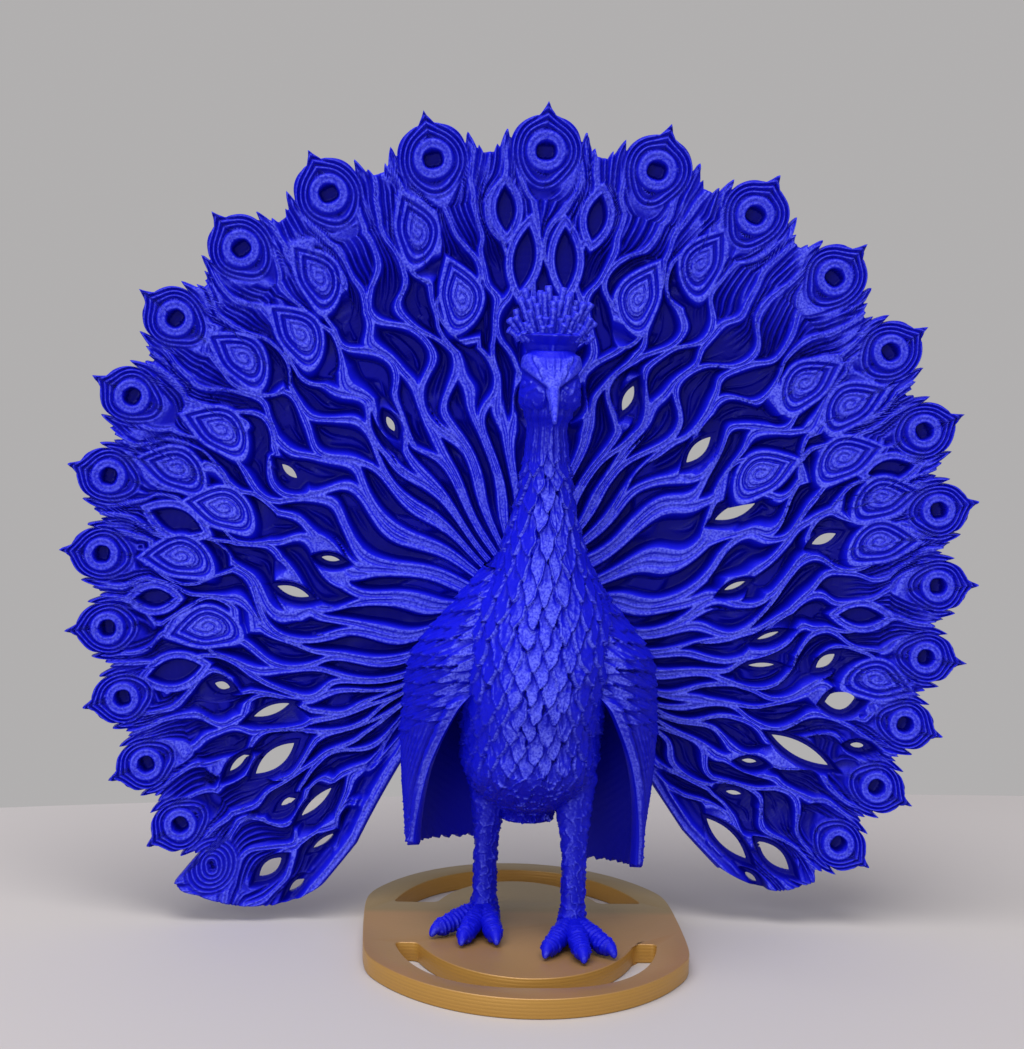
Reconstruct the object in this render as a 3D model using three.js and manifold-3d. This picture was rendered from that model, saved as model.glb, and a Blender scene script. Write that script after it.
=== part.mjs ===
// A 3-D-printed peacock figurine: a blue bird with its train raised in a round fan, standing on an
// oval gold base with two curved slots. Millimetres, +Z up. The origin is the middle of the base's
// underside, and the bird faces -Y. Left and right are those of someone who looks at its face.

import * as THREE from 'three';
import { mergeVertices } from 'three/addons/utils/BufferGeometryUtils.js';
import Module from 'manifold-3d';

const wasm = await Module();
wasm.setup();

// ---------------------------------------------------------------- driving dimensions

const GAP = 0.3; // clearance between touching pieces

const BASE_WIDTH = 76; // across the two flats
const BASE_DEPTH = 102; // over the two curved ends
const BASE_OVAL_WIDTH = 82.8; // width of the oval that the flats cut short
const BASE_THICKNESS = 4.6;
const BASE_CHAMFER = 0.5;

const TRAIN_HUB = { x: -0.9, y: 23, z: 79.4 }; // the point that all its feathers spring from
const EYE_DISTANCE = 103.6; // from the hub to the eye of a feather half way round
const EYE_DISTANCE_EXTRA = 4.7; // how much further out the top eyes lie, and how much nearer the lowest
const TRAIN_DISH = 9; // how far the ring of eyes leans forward of the hub
const TRAIN_LEAN = 1; // degrees that the fan is turned clockwise, seen from the front
const FEATHERS_A_SIDE = 11; // eyed feathers each side of the middle one

const LEG_RADIUS = 3.1;
const FOOT_TOP_Z = 10.6; // where a shank meets its toes
const LEFT_LEG = { x: -9.4, y: -1.5 };
const RIGHT_LEG = { x: 10.6, y: -12 };

const BLUE = new THREE.MeshStandardMaterial({ color: 0x1414b8, roughness: 0.42, metalness: 0.05 });
const GOLD = new THREE.MeshStandardMaterial({ color: 0xa8823c, roughness: 0.4, metalness: 0.3 });

const figurine = new THREE.Group();
figurine.name = 'peacock_figurine';

// ---------------------------------------------------------------- helpers

function addMesh(name, geometry, material = BLUE) {
  const mesh = new THREE.Mesh(geometry, material);
  mesh.name = name;
  figurine.add(mesh);
  return mesh;
}

// A closed three.js geometry as a solid that can be joined and cut.
function toSolid(geometry) {
  const bare = geometry.clone();
  bare.deleteAttribute('normal');
  bare.deleteAttribute('uv');
  const merged = mergeVertices(bare, 1e-4);
  const vertProperties = new Float32Array(merged.attributes.position.array);
  const triVerts = new Uint32Array(merged.index.array);
  return new wasm.Manifold(new wasm.Mesh({ numProp: 3, vertProperties, triVerts }));
}

function toGeometry(solid) {
  const mesh = solid.getMesh();
  const geometry = new THREE.BufferGeometry();
  geometry.setAttribute('position', new THREE.BufferAttribute(mesh.vertProperties, 3));
  geometry.setIndex(new THREE.BufferAttribute(mesh.triVerts, 1));
  geometry.computeVertexNormals();
  return geometry;
}

const join = (geometries) => geometries.map(toSolid).reduce((sum, next) => sum.add(next));

const clamp01 = (t) => Math.min(Math.max(t, 0), 1);

const degrees = (angle) => THREE.MathUtils.degToRad(angle);

// Moves every vertex of a geometry to where place(vertex) puts it.
function moveVertices(geometry, place) {
  const positions = geometry.attributes.position;
  const vertex = new THREE.Vector3();
  for (let i = 0; i < positions.count; i += 1) {
    vertex.fromBufferAttribute(positions, i);
    place(vertex);
    positions.setXYZ(i, vertex.x, vertex.y, vertex.z);
  }
  geometry.computeVertexNormals();
  return geometry;
}

// A smooth value between the rows of a table, each row [z, value, value, ...].
function readTable(table, z) {
  const last = table.length - 2;
  let row = table.findIndex((entry, i) => i > 0 && z <= entry[0]) - 1;
  if (row < 0) row = z <= table[0][0] ? 0 : last;
  const [below, above] = [table[row], table[row + 1]];
  const before = table[Math.max(row - 1, 0)];
  const after = table[Math.min(row + 2, table.length - 1)];
  const span = above[0] - below[0];
  const t = clamp01((z - below[0]) / span);
  return below.slice(1).map((value, k) => {
    const start = ((above[k + 1] - before[k + 1]) / (above[0] - before[0])) * span;
    const end = ((after[k + 1] - value) / (after[0] - below[0])) * span;
    const rise = above[k + 1] - value;
    return value + t * start + t * t * (3 * rise - 2 * start - end) + t * t * t * (start + end - 2 * rise);
  });
}

// An upright form of oval sections. Each row of its table is [z, middle x, middle y, half width,
// half depth].
function tower(table, { sides = 24, steps = 12, grow = 0, low = table[0][0], high = table.at(-1)[0] } = {}) {
  const drum = new THREE.CylinderGeometry(1, 1, 1, sides, steps).rotateX(Math.PI / 2);
  return moveVertices(drum, (v) => {
    const level = low + (v.z + 0.5) * (high - low);
    const [x, y, halfWidth, halfDepth] = readTable(table, level);
    v.set(x + v.x * (halfWidth + grow), y + v.y * (halfDepth + grow), level);
  });
}

// A round limb along a curve, with radiusAt(t) from its start (t = 0) to its end (t = 1).
function limb(points, radiusAt, { sides = 10, steps = 6 } = {}) {
  const curve = new THREE.CatmullRomCurve3(points.map((p) => new THREE.Vector3(...p)));
  const frames = curve.computeFrenetFrames(steps, false);
  const rod = new THREE.CylinderGeometry(1, 1, 1, sides, steps).rotateX(Math.PI / 2);
  return moveVertices(rod, (v) => {
    const t = v.z + 0.5;
    const step = Math.round(t * steps);
    const radius = radiusAt(t);
    const across = frames.normals[step].clone().multiplyScalar(v.x * radius);
    const up = frames.binormals[step].clone().multiplyScalar(v.y * radius);
    v.copy(curve.getPointAt(t)).add(across).add(up);
  });
}

const block = (x, y, z, [cx, cy, cz]) => new THREE.BoxGeometry(x, y, z).translate(cx, cy, cz);

// ---------------------------------------------------------------- base

// The oval with its sides cut to flats.
function baseOutline(inset) {
  const points = [];
  for (let step = 0; step < 60; step += 1) {
    const angle = degrees(step * 6);
    const x = (BASE_OVAL_WIDTH / 2 - inset) * Math.cos(angle);
    const y = (BASE_DEPTH / 2 - inset) * Math.sin(angle);
    const flat = BASE_WIDTH / 2 - inset;
    points.push(new THREE.Vector2(THREE.MathUtils.clamp(x, -flat, flat), y));
  }
  return new THREE.Shape().setFromPoints(points);
}

// A curved slot round one end of the base, between two ovals given as [half width, half depth].
function slotOutline({ end, outer, inner, cornerY }) {
  const points = [];
  const steps = 14;
  for (const [[halfWidth, halfDepth], forwards] of [[outer, true], [inner, false]]) {
    const start = Math.asin(cornerY / halfDepth);
    for (let step = 0; step <= steps; step += 1) {
      const along = forwards ? step / steps : 1 - step / steps;
      const angle = start + (Math.PI - 2 * start) * along;
      points.push(new THREE.Vector2(halfWidth * Math.cos(angle), end * halfDepth * Math.sin(angle)));
    }
  }
  return new THREE.Shape().setFromPoints(points);
}

const FRONT_SLOT = { end: -1, outer: [33, 44], inner: [27.2, 38.3], cornerY: 14.5 };
const BACK_SLOT = { end: 1, outer: [32.8, 44.6], inner: [22.8, 34.6], cornerY: 16.5 };

function makeBase() {
  const lower = new THREE.ExtrudeGeometry(baseOutline(0), {
    depth: BASE_THICKNESS - BASE_CHAMFER,
    bevelEnabled: false,
  });
  const upper = new THREE.ExtrudeGeometry(baseOutline(BASE_CHAMFER), {
    depth: BASE_THICKNESS,
    bevelEnabled: false,
  });
  let plate = join([lower, upper]);
  for (const slot of [FRONT_SLOT, BACK_SLOT]) {
    const cutter = new THREE.ExtrudeGeometry(slotOutline(slot), {
      depth: BASE_THICKNESS + 2,
      bevelEnabled: false,
    });
    plate = plate.subtract(toSolid(cutter.translate(0, 0, -1)));
  }
  addMesh('base_plate', toGeometry(plate), GOLD);
}

// ---------------------------------------------------------------- trunk, neck and head

// [z, middle x, middle y, half width, half depth]
const TRUNK = [
  [32, 0, -7, 5, 6],
  [36, 0, -6.5, 11.5, 13],
  [42, 0, -6, 14.5, 17],
  [52, 0, -5.5, 15.8, 20],
  [62, 0.2, -6.5, 17, 21.8],
  [72, 0.6, -7, 17.5, 21],
  [82, 1, -8.5, 14.8, 17.6],
  [92, 1.2, -11, 11.2, 13.4],
  [103, 1.2, -13, 8.2, 9.6],
  [113, 1.2, -14.2, 5.6, 6.8],
  [120, 1, -15.4, 5.1, 5.8],
  [128, 0.9, -17.4, 4.7, 5.4],
];
const NECK_START_Z = 96;
const HEAD_START_Z = 126;

const HEAD_X = 0.9; // the head is carried a little to the right of the base's middle
const HEAD = [
  [HEAD_START_Z + GAP, HEAD_X, -18.2, 4.6, 5.8],
  [128.6, HEAD_X, -19.4, 6.6, 8],
  [131, HEAD_X, -20.2, 6.9, 9],
  [135, HEAD_X, -20.6, 6.3, 9],
  [139, HEAD_X, -20.6, 6.3, 8.6],
  [141.6, HEAD_X, -20.4, 5, 7],
  [142.6, HEAD_X, -20.4, 2.6, 4],
];

const BEAK = [[HEAD_X, -26.5, 133.6], [HEAD_X, -31.6, 131.4], [HEAD_X, -36.4, 126]];
const EYE = { fromMiddle: 6.2, y: -24.4, z: 134.6, radius: 1.15 };

const beakGeometry = (grow) => limb(
  BEAK,
  (t) => 2.5 * (1 - 0.8 * t) + grow,
  { sides: 10, steps: 4 },
);

function makeBody() {
  const trunk = tower(TRUNK, { high: NECK_START_Z - GAP, steps: 11 });
  addMesh('trunk', trunk);
  const neck = tower(TRUNK, { low: NECK_START_Z, high: HEAD_START_Z, sides: 20, steps: 6 });
  addMesh('neck', neck);

  let head = toSolid(tower(HEAD, { sides: 20, steps: 8 }));
  head = head.subtract(toSolid(beakGeometry(GAP)));
  for (const side of [-1, 1]) {
    const socket = new THREE.SphereGeometry(EYE.radius + GAP, 10, 8);
    const x = HEAD_X + side * EYE.fromMiddle;
    head = head.subtract(toSolid(socket.translate(x, EYE.y, EYE.z)));
    const eye = new THREE.SphereGeometry(EYE.radius, 10, 8);
    addMesh(side < 0 ? 'eye_left' : 'eye_right', eye.translate(x, EYE.y, EYE.z));
  }
  addMesh('head', toGeometry(head));
  addMesh('beak', beakGeometry(0));
}

// The crest: a low cap and tiers of short rods that spread from the crown.
function makeCrest() {
  const root = new THREE.Vector3(HEAD_X, -19.4, 138);
  const cap = new THREE.CylinderGeometry(5.2, 4, 2.2, 14).rotateX(Math.PI / 2);
  const pieces = [cap.translate(root.x, root.y, 144.1)];
  const tiers = [
    { rods: 7, spread: 76, length: 14.6, lean: 6 },
    { rods: 6, spread: 62, length: 18, lean: -4 },
  ];
  for (const { rods, spread, length, lean } of tiers) {
    for (let rod = 0; rod < rods; rod += 1) {
      const angle = degrees(spread * (rod / (rods - 1) - 0.5));
      const reach = length - 3.4 * Math.abs(Math.sin(angle));
      const tip = [
        root.x + reach * Math.sin(angle),
        root.y - reach * Math.sin(degrees(lean)),
        root.z + reach * Math.cos(angle),
      ];
      const start = [root.x + 6 * Math.sin(angle), root.y, root.z + 6 * Math.cos(angle)];
      const middle = start.map((value, k) => (value + tip[k]) / 2);
      pieces.push(limb([start, middle, tip], (t) => 1.1 - 0.4 * t, { sides: 6, steps: 1 }));
    }
  }
  const crest = join(pieces).subtract(toSolid(tower(HEAD, { sides: 20, steps: 8, grow: GAP })));
  const aboveHead = toSolid(block(60, 60, 40, [0, -20, 142.6 + GAP + 20]));
  addMesh('crest', toGeometry(crest.intersect(aboveHead)));
}

// ---------------------------------------------------------------- wings

// The outside and the inside of both hanging wings, as one cape round the trunk.
const WINGS_OUTSIDE = [
  [18, 0, 0, 26.2, 15],
  [28, 0, -0.5, 27.4, 16.6],
  [40, 0, -1.5, 29.2, 17.6],
  [52, 0, -2.5, 29.7, 18.6],
  [60, 0, -3.5, 28.8, 19.6],
  [68, 0, -4.5, 25.6, 20.4],
  [76, 0, -6, 20.9, 19.6],
  [84, 0, -8, 15.8, 17.4],
];
const WINGS_INSIDE = [
  [18, 0, 0, 23.8, 12.6],
  [28, 0, -0.5, 25, 14.2],
  [40, 0, -1.5, 26.6, 15.2],
  [52, 0, -2.5, 26.8, 16.2],
  [60, 0, -3.5, 25, 17.2],
  [66, 0, -4.5, 21.6, 17.6],
  [72, 0, -5, 18.2, 17],
  [84, 0, -8, 13, 14],
];

// Each wing runs from its front edge, a slope that leans back towards the tip, round to the rump.
function makeWing({ name, side, tipZ }) {
  let wing = toSolid(tower(WINGS_OUTSIDE, { sides: 32, steps: 9 }));
  wing = wing.subtract(toSolid(tower(WINGS_INSIDE, { sides: 28, steps: 8 })));
  wing = wing.subtract(toSolid(tower(TRUNK, { high: NECK_START_Z, steps: 11, grow: GAP })));
  const frontEdge = block(80, 40, 76, [0, -20, -22]).rotateX(degrees(16)).translate(0, -13.8, 50);
  const rump = block(22.4, 60, 120, [0, 20, 60]);
  const otherSide = block(60, 80, 120, [-side * 30, 0, 60]);
  const belowTip = block(80, 80, 30, [0, 0, tipZ - 15]);
  const aboveShoulder = block(80, 80, 20, [0, 0, 83 + 10]);
  for (const cutter of [tailBoss(GAP), frontEdge, rump, otherSide, belowTip, aboveShoulder]) {
    wing = wing.subtract(toSolid(cutter));
  }
  const bodies = wing.decompose().sort((a, b) => b.volume() - a.volume());
  addMesh(name, toGeometry(bodies[0]));
}

// ---------------------------------------------------------------- legs and feet

const TOES = [
  { turn: -30, length: 16.5 },
  { turn: 0, length: 18 },
  { turn: 27, length: 16.5 },
  { turn: 168, length: 9 },
];
const TOE_RADIUS = 2.3;
const HIP_Y = -7;
const THIGH_EXTRA = 1.8; // how much thicker a leg is where it enters the belly
const FOOT_FLOOR_Z = BASE_THICKNESS + GAP;

function makeLeg({ name, footName, x, y, heading }) {
  const towardsHip = (share) => y + (HIP_Y - y) * share;
  const line = [
    [x, y, FOOT_TOP_Z],
    [x, y, 22],
    [x * 0.98, towardsHip(0.16), 31],
    [x * 0.95, towardsHip(0.4), 40],
  ];
  const radiusAt = (t) => LEG_RADIUS + THIGH_EXTRA * clamp01((t - 0.55) / 0.45) ** 1.5;
  const shank = limb(line, radiusAt, { sides: 12, steps: 7 });
  const trunk = toSolid(tower(TRUNK, { high: NECK_START_Z, steps: 11, grow: GAP }));
  const aboveFoot = toSolid(block(40, 40, 60, [x, y, FOOT_TOP_Z + GAP + 30]));
  const parts = toSolid(shank).subtract(trunk).intersect(aboveFoot).decompose();
  addMesh(name, toGeometry(parts.sort((a, b) => b.volume() - a.volume())[0]));

  const ankleLine = [[x, y, 6], [x, y, 8.4], [x, y, FOOT_TOP_Z]];
  const pieces = [limb(ankleLine, () => LEG_RADIUS, { sides: 12, steps: 2 })];
  for (const { turn, length } of TOES) {
    const angle = degrees(heading + turn);
    const step = (distance, z) => [x + distance * Math.sin(angle), y - distance * Math.cos(angle), z];
    const ground = FOOT_FLOOR_Z - 0.2;
    const toeLine = [
      step(0.5, 8.6),
      step(length * 0.4, ground + TOE_RADIUS + 1),
      step(length * 0.8, ground + TOE_RADIUS * 0.8),
      step(length, ground + 0.5),
    ];
    const toeRadius = (t) => TOE_RADIUS * (1 - 0.25 * t) * (t > 0.99 ? 0.3 : 1);
    pieces.push(limb(toeLine, toeRadius, { sides: 8, steps: 5 }));
  }
  const floor = toSolid(block(80, 80, 20, [x, y, FOOT_FLOOR_Z - 10]));
  addMesh(footName, toGeometry(join(pieces).subtract(floor)));
}

// ---------------------------------------------------------------- train

const HUB_RADIUS = 13.8;
const WEDGE_START = HUB_RADIUS + GAP;

// The angle, from straight up, of the feather with number s. Feathers are widest at the top.
const featherAngle = (s) => degrees(TRAIN_LEAN + 9.75 * s + 18 * Math.tanh(s / 4));

// The distance from the hub to the middle of an eye, longest at the top.
const eyeRadius = (s) => {
  const lower = clamp01((Math.abs(s) - 2.5) / 7);
  return EYE_DISTANCE + EYE_DISTANCE_EXTRA * Math.cos(Math.PI * lower);
};

// The front and the back of the fan, as Y, at a distance from the hub.
const trainMiddleY = (distance) => TRAIN_HUB.y - TRAIN_DISH * (distance / 108) ** 2;
const trainHalfThickness = (distance) => 3.6 - 1.5 * clamp01((distance - 40) / 70);

// Half of a feather's head: [across, beyond the eye's middle], from its point to the valley.
const HEAD_OUTLINE = [
  [0, 11.3],
  [1.3, 8.9],
  [4, 8.4],
  [6.5, 7.1],
  [7.6, 4.7],
  [8.9, 5.7],
  [10.5, 2.8],
  [12.2, -0.6],
];
const TOP_SPACING = featherAngle(1) - featherAngle(0);

function onTrain(angle, distance) {
  return new THREE.Vector2(distance * Math.sin(angle), distance * Math.cos(angle));
}

// Turns a flat outline in the fan's plane into a dished plate.
function trainPlate(points) {
  const outline = new THREE.Shape().setFromPoints(points);
  const plate = new THREE.ExtrudeGeometry(outline, { depth: 1, bevelEnabled: false });
  plate.rotateX(Math.PI / 2);
  return moveVertices(plate, (v) => {
    const distance = Math.hypot(v.x, v.z);
    const isFront = v.y < -0.5;
    v.y = trainMiddleY(distance) + (isFront ? -1 : 1) * trainHalfThickness(distance);
    v.x += TRAIN_HUB.x;
    v.z += TRAIN_HUB.z;
  });
}

// A radial edge at angle, kept half a gap to one side, with a point every 20 mm or so.
function radialEdge(angle, side, from, to) {
  const points = [];
  for (let step = 0; step <= 5; step += 1) {
    const distance = from + ((to - from) * step) / 5;
    points.push(onTrain(angle - (side * GAP) / 2 / distance, distance));
  }
  return points;
}

function featherPlace(index) {
  if (index === 0) return 'mid';
  const side = index < 0 ? 'left' : 'right';
  return `${side}_${String(Math.abs(index)).padStart(2, '0')}`;
}

function makeFeather(index) {
  const middle = featherAngle(index);
  const [left, right] = [featherAngle(index - 0.5), featherAngle(index + 0.5)];
  const eye = eyeRadius(index);
  const width = (right - left) / TOP_SPACING;
  const height = 0.45 + 0.55 * width;
  const valley = eye + HEAD_OUTLINE.at(-1)[1] * height;
  const tips = [];
  for (const side of [-1, 1]) {
    const half = HEAD_OUTLINE.map(([across, beyond]) => {
      const distance = eye + beyond * (0.3 + 0.7 * height);
      return onTrain(middle + (side * across * width) / distance, distance);
    });
    tips.push(side < 0 ? half.reverse() : half.slice(1));
  }
  const points = [
    ...radialEdge(left, -1, WEDGE_START, valley),
    ...tips[0],
    ...tips[1],
    ...radialEdge(right, 1, WEDGE_START, valley).reverse(),
  ];
  addMesh(`train_feather_${featherPlace(index)}`, trainPlate(points));
}

// The plain lower edge of the fan: [feather number, distance from the hub].
const LOWER_EDGE_LEFT = [
  [-13.05, 34],
  [-13.1, 50],
  [-13.35, 72],
  [-13.2, 86.7],
  [-12.4, 101.2],
  [-11.85, 108],
  [-11.6, 109.6],
  [-11.56, 106],
];
const LOWER_EDGE_RIGHT = [
  [12.8, 34],
  [12.76, 54],
  [12.8, 70],
  [12.62, 88],
  [12.12, 96.9],
  [11.64, 101],
  [11.56, 99],
];

function makeLowerEdge(name, edgePoints) {
  const side = Math.sign(edgePoints[0][0]);
  const start = featherAngle(side * (FEATHERS_A_SIDE + 0.5));
  const reach = edgePoints.at(-1)[1] - 2;
  const inner = radialEdge(start, -side, WEDGE_START, reach).reverse();
  const root = onTrain(featherAngle(side * 13.4), WEDGE_START);
  const knots = edgePoints.map(([s, distance]) => onTrain(featherAngle(s), distance));
  const points = [...inner, ...new THREE.SplineCurve([root, ...knots]).getPoints(18)];
  addMesh(name, trainPlate(side > 0 ? points : points.reverse()));
}

// The stub of the tail: a boss that carries the fan on the bird's back.
function tailBoss(grow) {
  const back = trainMiddleY(0) + trainHalfThickness(0);
  const front = trainMiddleY(0) - trainHalfThickness(0);
  const rim = HUB_RADIUS + grow;
  const profile = [
    [0, 0], [9.5 + grow, 0], [12 + grow, 6], [rim, front - 2], [rim, back], [0, back],
  ];
  const boss = new THREE.LatheGeometry(profile.map(([r, y]) => new THREE.Vector2(r, y)), 28);
  return boss.translate(TRAIN_HUB.x, 0, TRAIN_HUB.z);
}

function makeTailRoot() {
  const trunk = toSolid(tower(TRUNK, { high: NECK_START_Z, steps: 11, grow: GAP }));
  const parts = toSolid(tailBoss(0)).subtract(trunk).decompose();
  addMesh('tail_root', toGeometry(parts.sort((a, b) => b.volume() - a.volume())[0]));
}

// The short plain tail feathers behind the train.
const TAIL_FEATHERS = 15;
const TAIL_LENGTH = 44;
const TAIL_THICKNESS = 1.6;
const TAIL_SPACING = degrees(11.5);
const TAIL_TIP = [[-0.46, 0.93], [-0.25, 0.985], [0, 1], [0.25, 0.985], [0.46, 0.93]]; // [turn, reach]

function makeTailFan() {
  const points = [new THREE.Vector2(0, -6)];
  const half = (TAIL_FEATHERS - 1) / 2;
  for (let feather = -half; feather <= half; feather += 1) {
    const length = TAIL_LENGTH - 0.12 * feather ** 2;
    for (const [turn, reach] of TAIL_TIP) {
      points.push(onTrain((feather + turn) * TAIL_SPACING, length * reach));
    }
  }
  const outline = new THREE.Shape().setFromPoints(points);
  const fan = new THREE.ExtrudeGeometry(outline, { depth: 1, bevelEnabled: false });
  fan.rotateX(Math.PI / 2);
  moveVertices(fan, (v) => {
    const isFront = v.y < -0.5;
    v.y = trainMiddleY(0) + trainHalfThickness(0) + GAP + (isFront ? 0 : TAIL_THICKNESS);
    v.x += TRAIN_HUB.x;
    v.z += TRAIN_HUB.z;
  });
  addMesh('tail_fan', fan);
}

// ---------------------------------------------------------------- assembly

makeBase();
makeBody();
makeCrest();
makeWing({ name: 'wing_left', side: -1, tipZ: 25.4 });
makeWing({ name: 'wing_right', side: 1, tipZ: 20.4 });
makeLeg({ name: 'leg_left', footName: 'foot_left', ...LEFT_LEG, heading: -19 });
makeLeg({ name: 'leg_right', footName: 'foot_right', ...RIGHT_LEG, heading: 4 });
makeTailRoot();
makeTailFan();
for (let index = -FEATHERS_A_SIDE; index <= FEATHERS_A_SIDE; index += 1) {
  makeFeather(index);
}
makeLowerEdge('train_edge_left', LOWER_EDGE_LEFT);
makeLowerEdge('train_edge_right', LOWER_EDGE_RIGHT);

export default figurine;
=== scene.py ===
# %% [markdown]
# # A printed peacock
# The object is a peacock figurine from a 3-D printer: a deep blue bird, its train raised in a round
# pierced fan, on a flat gold base. The blue part was printed lying on its back, so its layers are
# stacked from the back of the fan towards the viewer. That explains most of its look: flat pale
# crests, steep dark walls, and fine contour lines wherever the surface slopes gently.
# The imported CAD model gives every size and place. This lesson builds the finished surfaces on it.

import math

import bmesh
import bpy
import numpy as np
from mathutils import Matrix, Vector


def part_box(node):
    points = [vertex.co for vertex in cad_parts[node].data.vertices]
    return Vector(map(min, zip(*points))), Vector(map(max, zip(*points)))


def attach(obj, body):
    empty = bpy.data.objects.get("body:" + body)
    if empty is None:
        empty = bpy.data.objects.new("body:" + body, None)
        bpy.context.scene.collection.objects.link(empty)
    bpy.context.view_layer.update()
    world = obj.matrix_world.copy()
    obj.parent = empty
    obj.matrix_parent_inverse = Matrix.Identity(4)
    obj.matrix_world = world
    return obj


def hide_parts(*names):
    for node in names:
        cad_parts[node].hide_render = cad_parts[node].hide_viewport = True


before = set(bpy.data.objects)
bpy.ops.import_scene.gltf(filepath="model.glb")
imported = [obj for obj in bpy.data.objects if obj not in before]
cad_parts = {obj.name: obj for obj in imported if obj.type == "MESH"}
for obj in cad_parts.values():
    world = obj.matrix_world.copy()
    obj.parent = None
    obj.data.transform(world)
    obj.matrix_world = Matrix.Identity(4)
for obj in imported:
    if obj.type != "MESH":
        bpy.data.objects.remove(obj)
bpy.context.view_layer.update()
MM = 0.001

# %% [markdown]
# ## Camera
# The figurine is seen from the front, a little from its right and from slightly above, with a
# moderate lens. The camera's three directions are given as unit vectors, so a matrix places it.

# %% Camera
CAMERA_RIGHT = Vector((0.99774, -0.06038, 0.02946))
CAMERA_UP = Vector((-0.02285, 0.10733, 0.99396))
CAMERA_PLACE = (-0.0333, -0.4403, 0.1473)
LENS_MM, SENSOR_MM = 65.2, 36

scene = bpy.context.scene
camera_back = CAMERA_RIGHT.cross(CAMERA_UP)
camera_turn = Matrix((CAMERA_RIGHT, CAMERA_UP, camera_back)).transposed().to_4x4()
camera = bpy.data.objects.new("camera", bpy.data.cameras.new("camera"))
camera.matrix_world = Matrix.Translation(CAMERA_PLACE) @ camera_turn
camera.data.sensor_width = SENSOR_MM
camera.data.lens = LENS_MM
camera.data.clip_start = 0.01
scene.collection.objects.link(camera)
scene.camera = camera
scene.view_settings.view_transform = "Standard"
print("camera looks along", [round(v, 3) for v in -camera_back])

# %% [markdown]
# ## Light and floor
# Soft light from wide lamps keeps the satin plastic readable. One lamp stands high in front, a
# weaker one low and to the side, and a pale world fills the deep recesses a little. The floor is a
# wide round disc.

# %% Light and floor
LAMP_AIM = Vector((0, 0, 0.1))
WORLD_COLOUR = (0.44, 0.43, 0.43, 1)
FLOOR_COLOUR = (0.50, 0.475, 0.48, 1)
FLOOR_PLACE, FLOOR_RADIUS = (0.16, -1.35, 0), 1.5


def lamp(name, place, size, watts, tint):
    data = bpy.data.lights.new(name, "AREA")
    data.shape = "RECTANGLE"
    data.size, data.size_y = size
    data.energy = watts
    data.color = tint
    holder = bpy.data.objects.new(name, data)
    holder.rotation_euler = (LAMP_AIM - Vector(place)).to_track_quat("-Z", "Y").to_euler()
    holder.location = place
    scene.collection.objects.link(holder)


lamp("ceiling_lamp", (-0.15, -0.35, 1.1), (1.2, 0.5), 11, (1, 0.98, 0.96))
lamp("front_lamp", (-0.5, -1.1, 0.55), (0.7, 0.7), 5, (0.96, 0.98, 1))

world = bpy.data.worlds.new("pale_room")
world.use_nodes = True
world.node_tree.nodes["Background"].inputs["Color"].default_value = WORLD_COLOUR
world.node_tree.nodes["Background"].inputs["Strength"].default_value = 1.0
scene.world = world

floor_bm = bmesh.new()
floor_at = Matrix.Translation(FLOOR_PLACE)
bmesh.ops.create_circle(floor_bm, cap_ends=True, segments=256, radius=FLOOR_RADIUS, matrix=floor_at)
floor_mesh = bpy.data.meshes.new("floor")
floor_bm.to_mesh(floor_mesh)
floor_bm.free()
floor = bpy.data.objects.new("floor", floor_mesh)
scene.collection.objects.link(floor)
floor_look = bpy.data.materials.new("pale_floor")
floor_look.use_nodes = True
floor_shader = floor_look.node_tree.nodes["Principled BSDF"]
floor_shader.inputs["Base Color"].default_value = FLOOR_COLOUR
floor_shader.inputs["Roughness"].default_value = 0.7
floor_mesh.materials.append(floor_look)

# %% [markdown]
# ## Helpers for shader nodes
# A node tree built by script is mostly the same three steps: add a node, set its sockets, link it.
# These helpers take a socket's value either as a constant or as another node's output, so that a
# material reads as one short list of what feeds what.

# %% Node helpers
def set_inputs(tree, node, inputs):
    """Give sockets their values; another node's output is linked, anything else is a constant."""
    for name, value in inputs.items():
        if isinstance(value, bpy.types.NodeSocket):
            tree.links.new(value, node.inputs[name])
        else:
            node.inputs[name].default_value = value


def add_node(tree, kind, inputs, **settings):
    node = tree.nodes.new("ShaderNode" + kind)
    for name, value in settings.items():
        setattr(node, name, value)
    set_inputs(tree, node, inputs)
    return node


def maths(tree, operation, *values):
    return add_node(tree, "Math", dict(enumerate(values)), operation=operation).outputs[0]


def map_range(tree, value, low, high, to_low=0, to_high=1, curve="LINEAR"):
    """Carry low..high to to_low..to_high, held at both ends."""
    inputs = {"Value": value, "From Min": low, "From Max": high, "To Min": to_low, "To Max": to_high}
    return add_node(tree, "MapRange", inputs, interpolation_type=curve).outputs["Result"]


def mix_colours(tree, factor, first, second):
    inputs = {"Factor": factor, "A": first, "B": second}
    return add_node(tree, "Mix", inputs, data_type="RGBA").outputs["Result"]


def axis_of(tree, vector, axis):
    return add_node(tree, "SeparateXYZ", {0: vector}).outputs[axis]


print("node helpers ready")

# %% [markdown]
# ## Layer lines, as a node group
# A printed layer is a bead about 0.2 mm high. Its rounded side repeats along the printing
# direction, so one periodic height function of a single object coordinate draws the lines on steep
# walls and the contour terraces on gentle slopes. Both plastics use it, so it is a shader node
# group: it takes a coordinate and a layer height, and puts out a height for a Bump node.

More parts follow.
